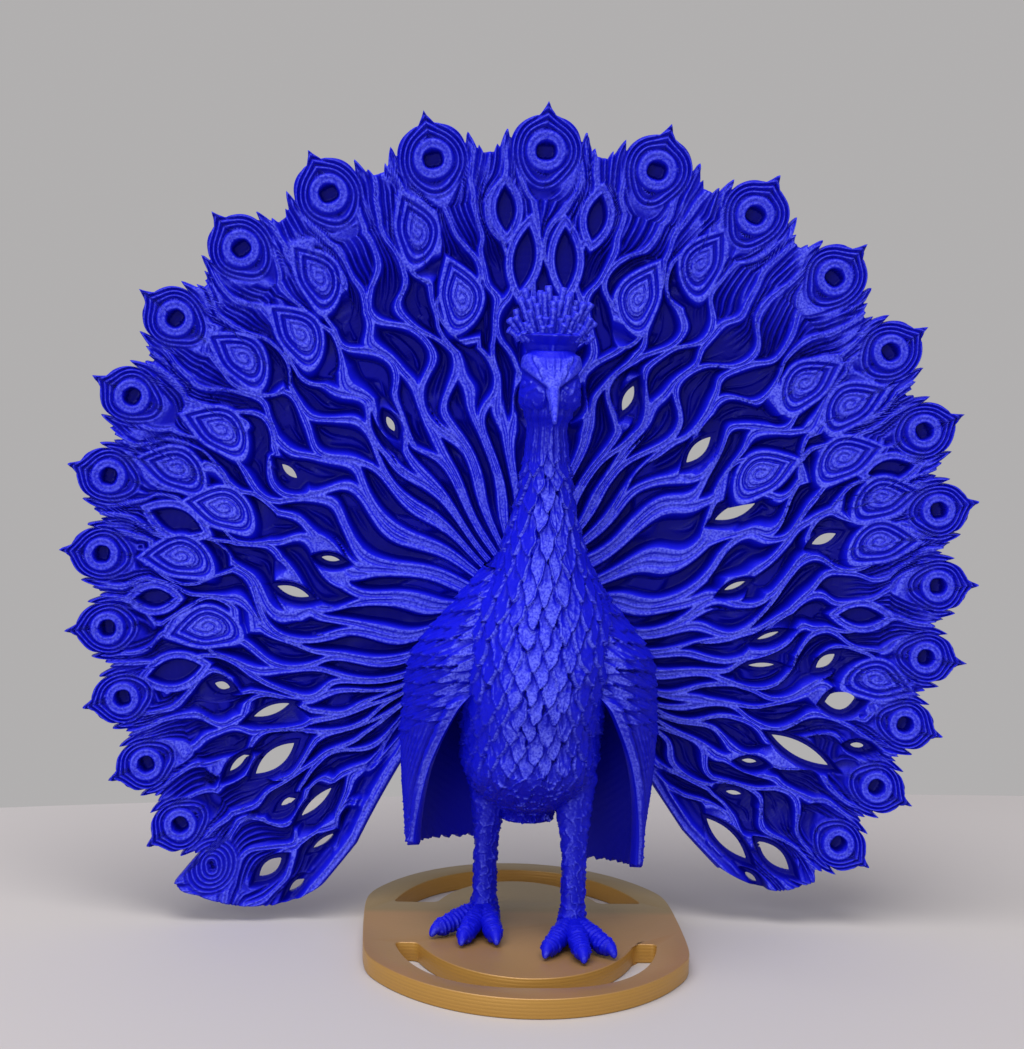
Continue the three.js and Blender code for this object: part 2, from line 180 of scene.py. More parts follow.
# %% Node group: layer lines
def make_layer_group():
    group = bpy.data.node_groups.new("layer_lines", "ShaderNodeTree")
    for name in ("Along", "Layer height", "Depth"):
        group.interface.new_socket(name, in_out="INPUT", socket_type="NodeSocketFloat")
    group.interface.new_socket("Height", in_out="OUTPUT", socket_type="NodeSocketFloat")
    start, end = group.nodes.new("NodeGroupInput"), group.nodes.new("NodeGroupOutput")
    layers = maths(group, "DIVIDE", start.outputs["Along"], start.outputs["Layer height"])
    wave = maths(group, "SINE", maths(group, "MULTIPLY", layers, math.pi))
    bead = maths(group, "ABSOLUTE", wave)
    height = maths(group, "MULTIPLY", bead, start.outputs["Depth"])
    group.links.new(height, end.inputs["Height"])
    return group


LAYER_LINES = make_layer_group()


def print_bump(tree, along, layer_mm, depth_mm, grain, grain_mm):
    """The normal of plastic with layer lines and a fine grain."""
    sizes = {"Along": along, "Layer height": layer_mm * MM, "Depth": depth_mm * MM}
    lines = add_node(tree, "Group", sizes, node_tree=LAYER_LINES).outputs["Height"]
    height = maths(tree, "ADD", lines, maths(tree, "MULTIPLY", grain, grain_mm * MM))
    return add_node(tree, "Bump", {"Strength": 1, "Distance": 1, "Height": height}).outputs["Normal"]


print("node group:", LAYER_LINES.name)

# %% [markdown]
# ## Blue plastic
# The blue is strongly saturated. Flat tops scatter more light and look paler and greyer; walls and
# recesses bounce blue on blue and go dark. Both are painted into the colour. The painted highlight
# is keyed on how squarely the surface faces the front, which is the printing direction and the side
# the lamps light. Each piece also carries a "recess" attribute: 0 on a crest, 1 in the deepest cells,
# where the painted shade is darkest, and below 0 on raised parts, which get the painted highlight
# from all sides.

# %% Material: blue plastic
def new_plastic(name):
    look = bpy.data.materials.new(name)
    look.use_nodes = True
    tree = look.node_tree
    place = tree.nodes.new("ShaderNodeTexCoord").outputs["Object"]
    facing = tree.nodes.new("ShaderNodeNewGeometry").outputs["Normal"]
    return look, tree, tree.nodes["Principled BSDF"], place, facing


def make_blue():
    look, tree, plastic, place, facing = new_plastic("blue_plastic")
    plastic.inputs["Specular IOR Level"].default_value = 0.14
    recess = add_node(tree, "Attribute", {}, attribute_name="recess").outputs["Fac"]
    grain = add_node(tree, "TexNoise", {"Vector": place, "Scale": 1900, "Detail": 2}).outputs["Fac"]

    # Painted highlight: a paler, greyer blue where the surface faces the front and on raised parts,
    # faded out of recesses.
    facing_front = map_range(tree, axis_of(tree, facing, "Y"), -0.8, -0.985, curve="SMOOTHSTEP")
    raised = map_range(tree, recess, -0.25, -1.1, 0, 0.8)
    highlight_mask = maths(tree, "MAXIMUM", facing_front, raised)
    speckle = map_range(tree, grain, 0.36, 0.62, 0.2, 1.1)
    speckled = maths(tree, "MULTIPLY", highlight_mask, speckle)
    on_crests = map_range(tree, recess, 0.02, 0.45, 1, 0)
    pale = maths(tree, "MULTIPLY", speckled, on_crests)

    # Painted shade: the blue darkens with the recess attribute, in cells, gaps and hollows.
    shade = map_range(tree, recess, 0.15, 1)
    shaded_blue = mix_colours(tree, shade, (0.004, 0.006, 0.67, 1), (0.0003, 0.0003, 0.26, 1))
    colour = mix_colours(tree, pale, shaded_blue, (0.115, 0.14, 0.95, 1))
    roughness = map_range(tree, grain, 0, 1, 0.34, 0.52)
    normal = print_bump(tree, axis_of(tree, place, "Y"), 0.2, 0.022, grain, 0.05)
    set_inputs(tree, plastic, {"Base Color": colour, "Roughness": roughness, "Normal": normal})
    return look


BLUE = make_blue()
print("material:", BLUE.name)

# %% [markdown]
# ## The fan: numbers that describe it
# The train is one dished disc of relief. A point on it is given by its angle from straight up
# (clockwise seen from the front, in degrees) and its distance from the hub in millimetres. Eyed
# feathers are numbered from -11 to 11, and they are widest at the top. These formulas are the same
# as the CAD model's, so the finished fan fills the same outline.

# %% Fan places and outline
root_low, root_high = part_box("tail_root")
HUB_X = (root_low.x + root_high.x) / 2 / MM
HUB_Z = (root_low.z + root_high.z) / 2 / MM
HUB_Y = root_high.y / MM - 3.6


def smooth(low, high, x):
    t = np.clip((x - low) / (high - low), 0, 1)
    return t * t * (3 - 2 * t)


def disc_point(angle, distance):
    """A point's x and z from the hub, from its angle and distance."""
    return distance * np.sin(np.radians(angle)), distance * np.cos(np.radians(angle))


def feather_angle(number):
    return 1 + 9.75 * number + 18 * np.tanh(number / 4)


FEATHERS = range(-11, 12)
NUMBERS = np.linspace(-14.5, 14.5, 4001)


def feather_number(angle):
    return np.interp(angle, feather_angle(NUMBERS), NUMBERS)


def eye_distance(number):
    return 103.6 + 4.7 * np.cos(np.pi * np.clip((np.abs(number) - 2.5) / 7, 0, 1))


def feather_width(number):
    widest = feather_angle(1) - feather_angle(0)
    return (feather_angle(number + 0.5) - feather_angle(number - 0.5)) / widest


def fan_middle_y(distance):
    return HUB_Y - 9 * (distance / 108) ** 2


def fan_half_thickness(distance):
    return 3.6 - 1.5 * np.clip((distance - 40) / 70, 0, 1)


def head_outline(across):
    """Half of a feather's head beyond its eye: a dome drawn up to a point, and two small flames."""
    horn = 11.5 - 2.0 * across**0.8
    lobe = 8.3 * np.clip(1 - (across / 8.7) ** 2.2, 0, 1) ** 0.45
    outline = np.maximum(horn, lobe)
    for tip, height, fall in ((9.2, 5.2, 1.5), (11.6, 2.0, 1.3)):
        past = (across - tip) / fall
        flame = height - 3 * np.abs(past) ** 1.3 * np.where(past > 0, 1, 3)
        outline = np.maximum(outline, flame)
    return np.maximum(outline, -0.6)


# Past the last feathers the outline is plain: feather numbers, and the distances they reach.
LEFT_END = (
    [11.5, 11.6, 11.75, 12.4, 12.8, 13.05, 13.2, 13.3], [99, 108.6, 108.4, 102, 96.3, 91.2, 86.5, 81.5],
)
RIGHT_END = [11.5, 11.64, 12.12, 12.4, 12.58, 12.7], [98.5, 101, 97, 92.5, 88, 83]
# The fan's lower edges: distances, and the feather numbers where the edge lies there.
LEFT_SIDE = [14, 34, 50, 72, 86.7], [13.4, 13.05, 13.1, 13.35, 13.25]
RIGHT_SIDE = [14, 34, 54, 70, 88], [13.4, 12.8, 12.76, 12.8, 12.62]


def rim_distance(number):
    """How far the fan reaches from its hub at a feather number."""
    nearest = np.clip(np.round(number), FEATHERS[0], FEATHERS[-1])
    wide = feather_width(nearest)
    eye = eye_distance(nearest)
    turn = np.radians(np.abs(feather_angle(number) - feather_angle(nearest)))
    heads = eye + head_outline(turn * (eye + 4) / wide) * (0.3 + 0.7 * (0.45 + 0.55 * wide))
    left_end, right_end = np.interp(-number, *LEFT_END), np.interp(number, *RIGHT_END)
    return np.where(number < -11.5, left_end, np.where(number > 11.5, right_end, heads))


def side_number(distance, side):
    """The feather number of the fan's plain lower edge, left (-1) or right (1)."""
    return side * np.interp(distance, *(LEFT_SIDE if side < 0 else RIGHT_SIDE))


print("hub at", round(HUB_X, 2), round(HUB_Y, 2), round(HUB_Z, 2), "mm")
print("the top feather reaches", round(float(rim_distance(0.0)), 1), "mm")

# %% [markdown]
# ## The fan: where its buds, windows and recesses are
# Besides the eyes on the rim, the train carries curled leaf buds in inner rows, windows that go
# right through, and lens-shaped recesses with a floor. Each is listed by angle and distance; a
# window and a recess also have half a length, half a width and a turn from the radial direction.

# %% Features of the relief
BUDS = [
    (-12.9, 75.4), (-17.4, 92.9), (-33.3, 92.4), (-40.8, 84.2), (-49.8, 89.6), (-61, 84), (-69.6, 89.4),
    (-73.3, 75.8), (-83.1, 83.2), (-95.3, 76.5), (18.7, 78.7), (25.6, 92.3), (50.2, 86.7), (56.9, 92.8),
    (63.9, 85.8), (59.8, 66), (72, 91.2), (78.7, 88.5), (100.9, 89.3),
]
WINDOWS = [
    (-38, 54, 2.1, 0.8, 9), (-62, 65, 2.5, 0.9, 15), (-79, 48, 2.4, 0.7, -2), (-89, 56, 4.2, 1.2, 17),
    (-107, 76, 2, 1, 33), (-115, 67, 4.7, 1.2, 4), (-121, 80, 2.9, 0.8, -17), (-124, 72, 6, 2.2, -6),
    (-132, 76, 1.9, 0.7, 5), (-136, 71, 5.1, 1.1, 2), (-142, 77, 3.2, 0.7, 16), (-138, 90, 3.5, 1.6, 7),
    (-143, 89, 2.6, 0.9, 10), (-1.5, 49, 2.4, 0.7, 0), (13.5, 50, 2.2, 0.7, 0), (26, 56, 3.4, 1.2, -4),
    (48, 57, 4.4, 1.6, -7), (66, 57, 5.5, 1.6, 0), (77, 76, 3.3, 1.2, -12), (85, 53, 3, 0.7, -19),
    (97, 62, 3.1, 0.6, -28), (104, 62, 3.5, 0.6, -17), (100, 77, 3, 1.3, -48), (106, 83, 3.8, 2.6, -25),
    (117, 79, 8, 1.8, 0), (112, 91, 1.9, 0.7, -16), (124, 70, 2, 0.6, -28), (131, 72, 2.1, 0.6, -31),
    (138, 79, 7.1, 1.9, -4), (134, 90, 5.2, 1.9, -2), (139, 90, 2, 0.6, -10),
]
RECESSES = [
    (-77.6, 85.6, 6, 2.6, 10), (-90.2, 88.7, 4, 2, 0), (-102.2, 85.7, 6, 2.8, 0), (68.4, 95, 5, 2.2, 10),
    (90.9, 83.3, 5, 2, 0), (-1.6, 83.1, 7, 2.3, 8), (5.2, 83.5, 7, 2.3, -8), (-4.3, 94.8, 5, 2, 0),
    (8.9, 94.3, 5, 2, 0),
]
print(len(BUDS), "buds,", len(WINDOWS), "windows,", len(RECESSES), "recesses")

# %% [markdown]
# ## The fan: height functions
# Relief like this could be sculpted by hand. Here each motif is a small function of position, and
# the depth below the flat front is built up from them: a crest is a strip with steep sides, ribs
# wave against their neighbours so that they touch and part and leave lens-shaped cells, and every
# eye, bud and window pushes the ribs aside, so that they flow round it. What pushes is drawn a
# little larger than the motif, and a window's obstacle lies along the ribs, so that none is hooked.

# %% Small relief helpers
def in_feature_axes(x, z, angle, distance, turn=0.0):
    """Across (clockwise) and along (outwards) a feature that sits on the fan."""
    middle_x, middle_z = disc_point(angle, distance)
    dx, dz = x - middle_x, z - middle_z
    c, s = np.cos(np.radians(angle + turn)), np.sin(np.radians(angle + turn))
    return dx * c - dz * s, dx * s + dz * c


def near(x, z, angle, distance, reach):
    """Which points lie within reach of a place on the fan."""
    middle_x, middle_z = disc_point(angle, distance)
    return np.nonzero((x - middle_x) ** 2 + (z - middle_z) ** 2 < reach * reach)[0]


def crest(gap, flat, slope):
    """0 on a flat strip and 1 beyond its sloping side; gap is the distance from its middle."""
    t = np.clip((np.abs(gap) - flat) / slope, 0, 1)
    return t * t * (3 - 2 * t)


def hump(x, middle, width):
    """A smooth bell, 1 at its middle."""
    return np.exp(-(((x - middle) / width) ** 2))


def drift(x, z, scale, seed):
    """A slow, repeatable wander made of a few sine waves, about -1 to 1."""
    rng = np.random.default_rng(seed)
    total = 0
    for _ in range(5):
        pace, heading, phase = rng.uniform(0.6, 1.6), rng.uniform(0, 6.28), rng.uniform(0, 6.28)
        total = total + np.sin(pace * scale * (x * np.cos(heading) + z * np.sin(heading)) + phase)
    return total / 2.2


def lens_gap(across, along, half_length, half_width):
    """Roughly the distance outside a lens with two points; negative inside."""
    level = np.abs(across) / half_width + (along / half_length) ** 2
    steep = np.sqrt(1 / half_width**2 + (2 * along / half_length**2) ** 2)
    return (level - 1) / steep


def push_aside(x, z):
    """Where the ribs would have been if no eye, bud or window stood in their way."""
    moved_x, moved_z = x.copy(), z.copy()

    def obstacle(angle, distance, half_length, half_width, turn, spread, roundness):
        pick = near(x, z, angle, distance, max(half_length, half_width + 4 * spread))
        across, along = in_feature_axes(x[pick], z[pick], angle, distance, turn)
        bulge = half_width * np.clip(1 - (along / half_length) ** 2, 0, 1) ** roundness
        outside = np.maximum(np.abs(across) - bulge, 0)
        shift = -np.sign(across) * np.minimum(np.abs(across), bulge * np.exp(-outside / spread))
        moved_x[pick] += shift * np.cos(np.radians(angle + turn))
        moved_z[pick] -= shift * np.sin(np.radians(angle + turn))

    for number in FEATHERS:
        wide = 0.4 + 0.6 * feather_width(number)
        obstacle(feather_angle(number), eye_distance(number), 11.5, 5.4 * wide, 0, 5, 0.6)
    for angle, distance in BUDS:
        obstacle(angle, distance - 1, 11.5, 4.6, 0, 3.2, 0.7)
    for angle, distance, half_length, half_width, turn in WINDOWS:
        flow = strand_turn(angle, distance)
        lengthwise = abs(math.cos(math.radians(turn - flow)))
        across_it = half_width * lengthwise + 0.5 * half_length * (1 - lengthwise)
        obstacle(angle, distance, half_length + 5.0, across_it + 1.5, flow, 3.5, 1)
    for angle, distance, half_length, half_width, turn in RECESSES:
        obstacle(angle, distance, half_length + 3, half_width + 1, turn, 3, 1)
    return moved_x, moved_z


print("crest profile:", [round(float(crest(g, 0.5, 1)), 2) for g in (0, 0.5, 1, 1.5)])

# %% [markdown]
# ## The fan: where the strands run
# Strands run outwards every 4.2 degrees and swing a little. Near the hub they leave the straight
# spokes: at the sides they slope, because they rise from below the hub. So a strand is numbered by
# the angle where it ends at the rim, and a bisection finds which one passes through a place.

# %% Strand paths
RIB_PITCH = 4.2


def strand_shift(start):
    """Degrees by which a strand that ends at this rim angle is turned where it nears the hub."""
    side = np.abs(start) - np.where(start < 0, 5, 0)
    return np.sign(start) * 27 * smooth(42, 84, side) * (1 - smooth(92, 146, np.abs(start)))


def strand_place(angle, distance):
    """Which strand runs here, counted in rib pitches."""
    grip = 1 - smooth(22, 88, distance)
    low, high = np.full_like(angle, -152.0), np.full_like(angle, 152.0)
    for _ in range(15):
        half = (low + high) / 2
        beyond = half + strand_shift(half) * grip > angle
        low, high = np.where(beyond, low, half), np.where(beyond, half, high)
    start = (low + high) / 2
    swing = (1.3 + 0.9 * smooth(35, 55, distance)) * (1 - 0.7 * smooth(65, 98, distance))
    phase = 2 * np.pi * distance / 29 + 2.4 * np.sin(start * 0.09 + 0.6) + start * 0.035
    return (start + swing * np.sin(phase) + 0.9 * drift(start * 1.8, distance, 0.055, 3)) / RIB_PITCH


def strand_turn(angle, distance):
    """How many degrees the strand at this place leans away from the spoke through it."""
    angles = np.array([angle, angle, angle - 0.5, angle + 0.5], dtype=float)
    distances = np.array([distance - 1, distance + 1, distance, distance], dtype=float)
    place = strand_place(angles, distances)
    outward, round_it = (place[1] - place[0]) / 2, max(place[3] - place[2], 0.05)
    return math.degrees(math.atan(-outward / round_it * math.radians(distance)))


print("rib pitch at 80 mm:", round(math.radians(RIB_PITCH) * 80, 1), "mm")

# %% [markdown]
# ## The fan: ribs, cells and barbs
# Odd and even ribs sway in opposite phase, so neighbours touch and part again, as on a real train;
# near the hub they run in pairs instead. The gap to the nearest rib gives its flat crest, with a
# furrow on each side, and its wall. A vein and leaf-like patches stand on the cells' floors. Beyond
# the ribs, close barbs run on to the rim, five to a cell. They follow the ribs' own paths.

# %% Ribs, cells and barbs
SWAY_DISTANCES = [14, 30, 50, 70, 90, 120]
SWAY_TURNS = [0, 0.15, 0.6, 1.25, 2.1, 3.3]
SWAY_MIDDLES = [22, 40, 60, 80, 105]
SWAY_PACES = np.diff(SWAY_TURNS) / np.diff(SWAY_DISTANCES)
BARBS_PER_CELL = 5
FAR = 99.0


def cell_depth(x, z, distance):
    depth = np.interp(distance, [14, 30, 60, 85, 100, 120], [3.0, 4.3, 4.6, 3.7, 1.4, 1.0])
    return depth * (1 + 0.08 * drift(x, z, 0.1, 21))


def pitch_at(distance):
    return np.radians(RIB_PITCH) * distance


def nearest_ribs(place, slope, distance, flat):
    """Gaps to the two nearest ribs, the furrows on their crests, and the place between two ribs."""
    phase = 2 * np.pi * np.interp(distance, SWAY_DISTANCES, SWAY_TURNS)
    pace = 2 * np.pi * np.interp(distance, SWAY_MIDDLES, SWAY_PACES)
    sway = 0.45 * smooth(18, 44, distance) * (1 - 0.55 * smooth(76, 96, distance))
    paired = 1 - smooth(28, 52, distance + 5 * np.sin(np.floor(place / 2) * 2.7))
    pitch = pitch_at(distance)
    nearest, second, lines = np.full_like(place, FAR), np.full_like(place, FAR), np.zeros_like(place)
    low, high, low_rib = place - 9.0, place + 9.0, np.floor(place)
    for step in (-1, 0, 1, 2):
        rib = np.floor(place) + step
        way = np.where(np.mod(rib, 2) == 0, 1.0, -1.0)
        local = phase + 1.1 * np.sin(rib * 0.7 + 1.3) + 0.75 * np.sin(rib * 1.9 + 0.4)
        waving = way * sway * np.tanh(1.5 * np.sin(local)) / 0.905
        middle = rib + way * 0.36 * paired + waving * (1 - paired)
        lean = sway * np.cos(local) * pace * pitch * (1 - paired) - slope * pitch
        gap = np.abs(place - middle) * pitch / np.sqrt(1 + lean**2)
        furrow = 0.4 * (1 - smooth(0.05, 0.55 * flat, gap))
        lines = np.where(gap < nearest, furrow, lines)
        second = np.minimum(second, np.maximum(nearest, gap))
        nearest = np.minimum(nearest, gap)
        low_rib = np.where((middle <= place) & (middle > low), rib, low_rib)
        low = np.where(middle <= place, np.maximum(low, middle), low)
        high = np.where(middle > place, np.minimum(high, middle), high)
    return nearest, second, lines, low_rib + (place - low) / (high - low)


def rib_relief(place, slope, distance, depth):
    """The ribs' depth below the flat front, and the place between two ribs."""
    flat = np.interp(distance, [14, 30, 45, 60, 80, 110], [0.45, 0.75, 0.8, 0.75, 0.7, 0.5])
    nearest, second, lines, between = nearest_ribs(place, slope, distance, flat)
    wall = np.clip(0.3 * pitch_at(distance), 0.25, 1.6)
    t = np.clip((nearest - flat) / wall, 0, 1)
    floor = depth * (0.55 * t + 0.45 * t * t * (3 - 2 * t))
    between_two = 1 - smooth(0.2, 1.5, second - nearest)
    vein = smooth(2.0, 2.9, nearest) * between_two * smooth(36, 50, distance)
    leaf = smooth(0.8, 1.0, t) * smooth(0.0, 0.9, drift(place * 6, distance, 0.33, 31))
    return floor + lines * (1 - t) - np.maximum(1.2 * vein, 1.2 * leaf), between


def barb_relief(between):
    """Long ridges that run with the ribs; 0 on their crests and 1 between them."""
    line = between * BARBS_PER_CELL
    nearest = np.round(line)
    pale = 0.8 + 0.2 * np.sin(nearest * 2.4)
    return smooth(0.1, 0.9, np.abs(line - nearest) * 2) * pale + 0.18 * (1 - pale)


def ribs_and_barbs(x, z):
    """Ribs and barbs together: whichever stands higher, joined softly."""
    distance = np.hypot(x, z)
    bent_x, bent_z = push_aside(x, z)
    angle, bent = np.degrees(np.arctan2(bent_x, bent_z)), np.hypot(bent_x, bent_z)
    place = strand_place(angle, bent)
    slope = (strand_place(angle, bent + 0.5) - place) / 0.5
    ribs, between = rib_relief(place, slope, bent, cell_depth(x, z, distance))
    sunk = np.interp(distance + 2.5 * drift(x, z, 0.12, 9), [70, 80, 88, 94], [4.2, 3.0, 0.8, 0.2])
    wander = 0.1 * drift(x, z, 0.16, 5) + 0.06 * drift(x, z, 0.42, 6)
    barbs = sunk + 1.5 * barb_relief(between + wander) * smooth(78, 88, distance)
    soft = 0.4
    mix = np.clip(0.5 + 0.5 * (barbs - ribs) / soft, 0, 1)
    return barbs * (1 - mix) + ribs * mix - soft * mix * (1 - mix)


sample = [round(float(v), 2) for v in barb_relief(np.array([0, 0.05, 0.1]))]
print("a barb's profile from crest to gap:", sample)

# %% [markdown]
# ## The fan: recesses and windows
# These and the next motifs are stamped over the ribs: a stamp changes the depth only near its own
# place. A recess is a lens with a floor, ringed by a crest. A window goes right through, and its
# opening lies on the floor of a sunk cell, so it gets no ring.

# %% Recesses and windows
RECESS_FLOOR = 3.1


def stamp_recess(depth, x, z, angle, distance, half_length, half_width, turn):
    pick = near(x, z, angle, distance, half_length + 4)
    across, along = in_feature_axes(x[pick], z[pick], angle, distance, turn)
    gap = lens_gap(across, along, half_length, half_width)
    ring = RECESS_FLOOR * crest(gap - 1.25, 0.75, 0.95) + 0.35 * hump(gap, 1.25, 0.3)
    inside = np.where(gap > 1.25, np.minimum(ring, depth[pick]), ring)
    depth[pick] = np.where(gap < 3.2, inside, depth[pick])


def sink_window(depth, x, z, angle, distance, half_length, half_width, turn):
    floor = float(np.interp(distance, [50, 95], [4.6, 3.2]))
    pick = near(x, z, angle, distance, half_length + 6)
    across, along = in_feature_axes(x[pick], z[pick], angle, distance, turn)
    gap = lens_gap(across, along, half_length + 1.6, half_width + 0.7)
    depth[pick] = np.maximum(depth[pick], floor * (1 - smooth(0.0, 1.3, gap)))


trial, at_recess = np.zeros(1), disc_point(*RECESSES[0][:2])
stamp_recess(trial, np.array([at_recess[0]]), np.array([at_recess[1]]), *RECESSES[0])
print("a recess is", round(float(trial[0]), 2), "mm deep in its middle")

# %% [markdown]
# ## The fan: leaf buds
# A bud is a leaf with a curl. Its outline is a circle drawn out to a point at the tip and a shorter
# one at the heel. Inside, a spiral ridge grows outwards with the angle; round it run a groove, a rim
# and a steep side down to the cells.

# %% Leaf buds
def stamp_bud(depth, x, z, angle, distance):
    side = np.sign(angle)
    pick = near(x, z, angle, distance, 16)
    across, along = in_feature_axes(x[pick], z[pick], angle, distance)
    across = 1.08 * (across - side * 0.05 * along**2 * np.where(along < 0, 0.8, 0.35))
    round_it, reach = np.arctan2(across, along), np.hypot(across, along)
    tail = np.pi - np.abs(round_it)
    size = reach / (1 + 0.8 * np.exp(-np.abs(round_it) / 0.4) + 0.5 * hump(tail, 0, 0.75))
    curl = size / 1.25 + side * round_it / (2 * np.pi)
    swirl = 0.12 + 0.38 * crest(np.abs(curl - np.round(curl)) * 1.25, 0.3, 0.32) * smooth(0.2, 0.8, size)
    leaf = np.where(size < 2.9, swirl, 0.1 + 0.75 * crest(size - 3.9, 0.2, 0.45))
    rim = 0.05 + 0.75 * crest(size - 5.25, 0.22, 0.45)
    outside = 3.2 * crest(np.maximum(size - 5.25, 0), 0.3, 1.5)
    around = np.where(size < 6.9, np.minimum(depth[pick], np.maximum(outside, 0.05)), depth[pick])
    depth[pick] = np.where(size < 4.6, leaf, np.where(size < 5.3, rim, around))


print("buds on each side:", [sum(1 for b in BUDS if b[0] * side > 0) for side in (-1, 1)])

# %% [markdown]
# ## The fan: eyes
# An eye is a pit in a smooth ring, with ridges round it that come to a point at the feather's tip.
# Narrow feathers at the sides get smaller eyes. The last head on the left has rings but hardly a
# pit. With the eyes, the depth of the whole front is complete.

# %% Eyes
LOW_HEAD = (-131.5, 99.0)


def stamp_eye(depth, x, z, number):
    wide = feather_width(number)
    scale = 0.45 + 0.55 * wide
    pick = near(x, z, feather_angle(number), eye_distance(number), 11 * scale)
    across, along = in_feature_axes(x[pick], z[pick], feather_angle(number), eye_distance(number))
    across, along = across / scale, along / scale
    round_it, reach = np.arctan2(across, along), np.hypot(across, along)
    tip = np.clip(1 - np.abs(round_it) / 0.5, 0, 1) ** 1.6
    heel = hump(np.pi - np.abs(round_it), 0, 0.6)
    pointed = np.interp(reach, [4, 9], [0.02, 0.22]) * tip
    size = reach / (1 + pointed + 0.25 * heel * smooth(4.5, 7, reach))
    pit_edge = (np.abs(across / 2.15) ** 3 + np.abs(along / 1.8) ** 3) ** (1 / 3)
    ring = 0.1 + 0.9 * ((reach - 3.55) / 1.6) ** 4 + 0.25 * hump(reach, 3.5, 0.3)
    pit = 3.9 * (1 - smooth(0.85, 1.15, pit_edge))
    line = (size + 0.2 * np.sin(round_it * 3 + number) - 5.25) / 1.1
    ridges = 0.2 + 0.95 * crest(np.abs(line - np.floor(line) - 0.5) * 1.1, 0.1, 0.45)
    eye = np.where(size < 5.05, np.minimum(np.maximum(ring, pit), 3.9), ridges)
    fade = smooth(0, 1.6, size - np.interp(np.abs(round_it), [1.2, 1.9, 2.6], [9, 7.4, 6.4]))
    depth[pick] = np.where(size < 10, eye * (1 - fade) + depth[pick] * fade, depth[pick])


def stamp_low_head(depth, x, z):
    pick = near(x, z, *LOW_HEAD, 12)
    across, along = in_feature_axes(x[pick], z[pick], *LOW_HEAD)
    reach = np.hypot(across * 1.25, along) + 0.5 * np.sin(np.arctan2(across, along) * 2 + 0.8)
    line = reach / 1.25
    rings = 0.25 + 0.7 * crest(np.abs(line - np.floor(line) - 0.5) * 1.25, 0.12, 0.5)
    rings = np.maximum(rings, 2.0 * (1 - smooth(0.5, 1.1, reach)))
    fade = smooth(6.5, 9.0, reach)
    depth[pick] = np.where(reach < 9, rings * (1 - fade) + depth[pick] * fade, depth[pick])


def fan_depth(x, z):
    """Depth of the fan's front surface below its flat level, in millimetres."""
    depth = ribs_and_barbs(x, z)
    for window in WINDOWS:
        sink_window(depth, x, z, *window)
    for recess in RECESSES:
        stamp_recess(depth, x, z, *recess)
    for bud in BUDS:
        stamp_bud(depth, x, z, *bud)
    for number in FEATHERS:
        stamp_eye(depth, x, z, number)
    stamp_low_head(depth, x, z)
    return depth


top_pit = fan_depth(np.array([1.9]), np.array([108.3]))[0]
print("depth in the top eye's pit:", round(float(top_pit), 2), "mm")

# %% [markdown]
# ## The fan: one sheet, bent from a flat grid
# The sheet is built flat, in columns and rows, where grids, edge cuts and windows are simple to
# make, and then every vertex is carried to its place in the fan. Columns are split in two at two
# distances, because the fan widens outwards. The fan is too large for one piece, so it is cut into
# seven sectors along lines that meet no window.

# %% Fan columns, rows and places
LEFT_ANGLE, RIGHT_ANGLE = -146.0, 143.2
COLUMNS, ROWS = 480, 310
SPLIT_ROWS = (48, 122)
SECTOR_COLUMNS = [0, 80, 160, 226, 302, 360, 424, 480]
SECTOR_NAMES = ["low_left", "left", "high_left", "top", "high_right", "right", "low_right"]
EDGE_BAND = 12.0
THINNEST_WALL = 0.3


def fan_place(column, row):
    """Angle, distance, and the distances from the rim and from the two plain lower edges."""
    angle = LEFT_ANGLE + (RIGHT_ANGLE - LEFT_ANGLE) * column / COLUMNS
    rim = rim_distance(feather_number(angle))
    even = np.where(row < SPLIT_ROWS[1], 13 + 0.4 * row, 61.8 + 0.3 * (row - SPLIT_ROWS[1]))
    distance = even - (118.2 - rim) * np.clip((even - 20) / 98.2, 0, 1) ** 2
    left = feather_angle(side_number(distance, -1))
    right = feather_angle(side_number(distance, 1))
    near_left = np.clip(1 - (angle - LEFT_ANGLE) / EDGE_BAND, 0, 1) ** 2
    near_right = np.clip(1 - (RIGHT_ANGLE - angle) / EDGE_BAND, 0, 1) ** 2
    angle = angle + (left - LEFT_ANGLE) * near_left + (right - RIGHT_ANGLE) * near_right
    from_left = np.radians(angle - left) * distance
    from_right = np.radians(right - angle) * distance
    return angle, distance, rim - distance, from_left, from_right


def window_level(x, z, angle, distance, half_length, half_width, turn):
    """Below 1 inside a window and above 1 outside it; also its two axes' places."""
    across, along = in_feature_axes(x, z, angle, distance, turn)
    return np.abs(across) / half_width + (along / half_length) ** 2, across, along


def snap_to_windows(x, z, flagged):
    """Move the vertices at each window's border on to its lens-shaped outline."""
    for window in WINDOWS:
        angle, distance, half_length, half_width, turn = window
        pick = near(x, z, angle, distance, half_length + 1.5)
        level, across, along = window_level(x[pick], z[pick], *window)
        at_edge = (level < 1) | ((flagged[pick] > 0.5) & (level < 6))
        pick, across, along = pick[at_edge], across[at_edge], along[at_edge]
        a, b = np.abs(across) / half_width, np.maximum((along / half_length) ** 2, 1e-6)
        k = (np.sqrt(a * a + 4 * b) - a) / (2 * b)
        grow_across, grow_along = across * (k - 1), along * (k - 1)
        c, s = np.cos(np.radians(angle + turn)), np.sin(np.radians(angle + turn))
        x[pick] += grow_across * c + grow_along * s
        z[pick] += grow_along * c - grow_across * s
    return x, z


def edge_drop(gap, radius):
    """How far a rounded edge has dropped at a distance from it."""
    t = np.clip(1 - gap / radius, 0, 1)
    return radius * (1 - np.sqrt(1 - t * t))


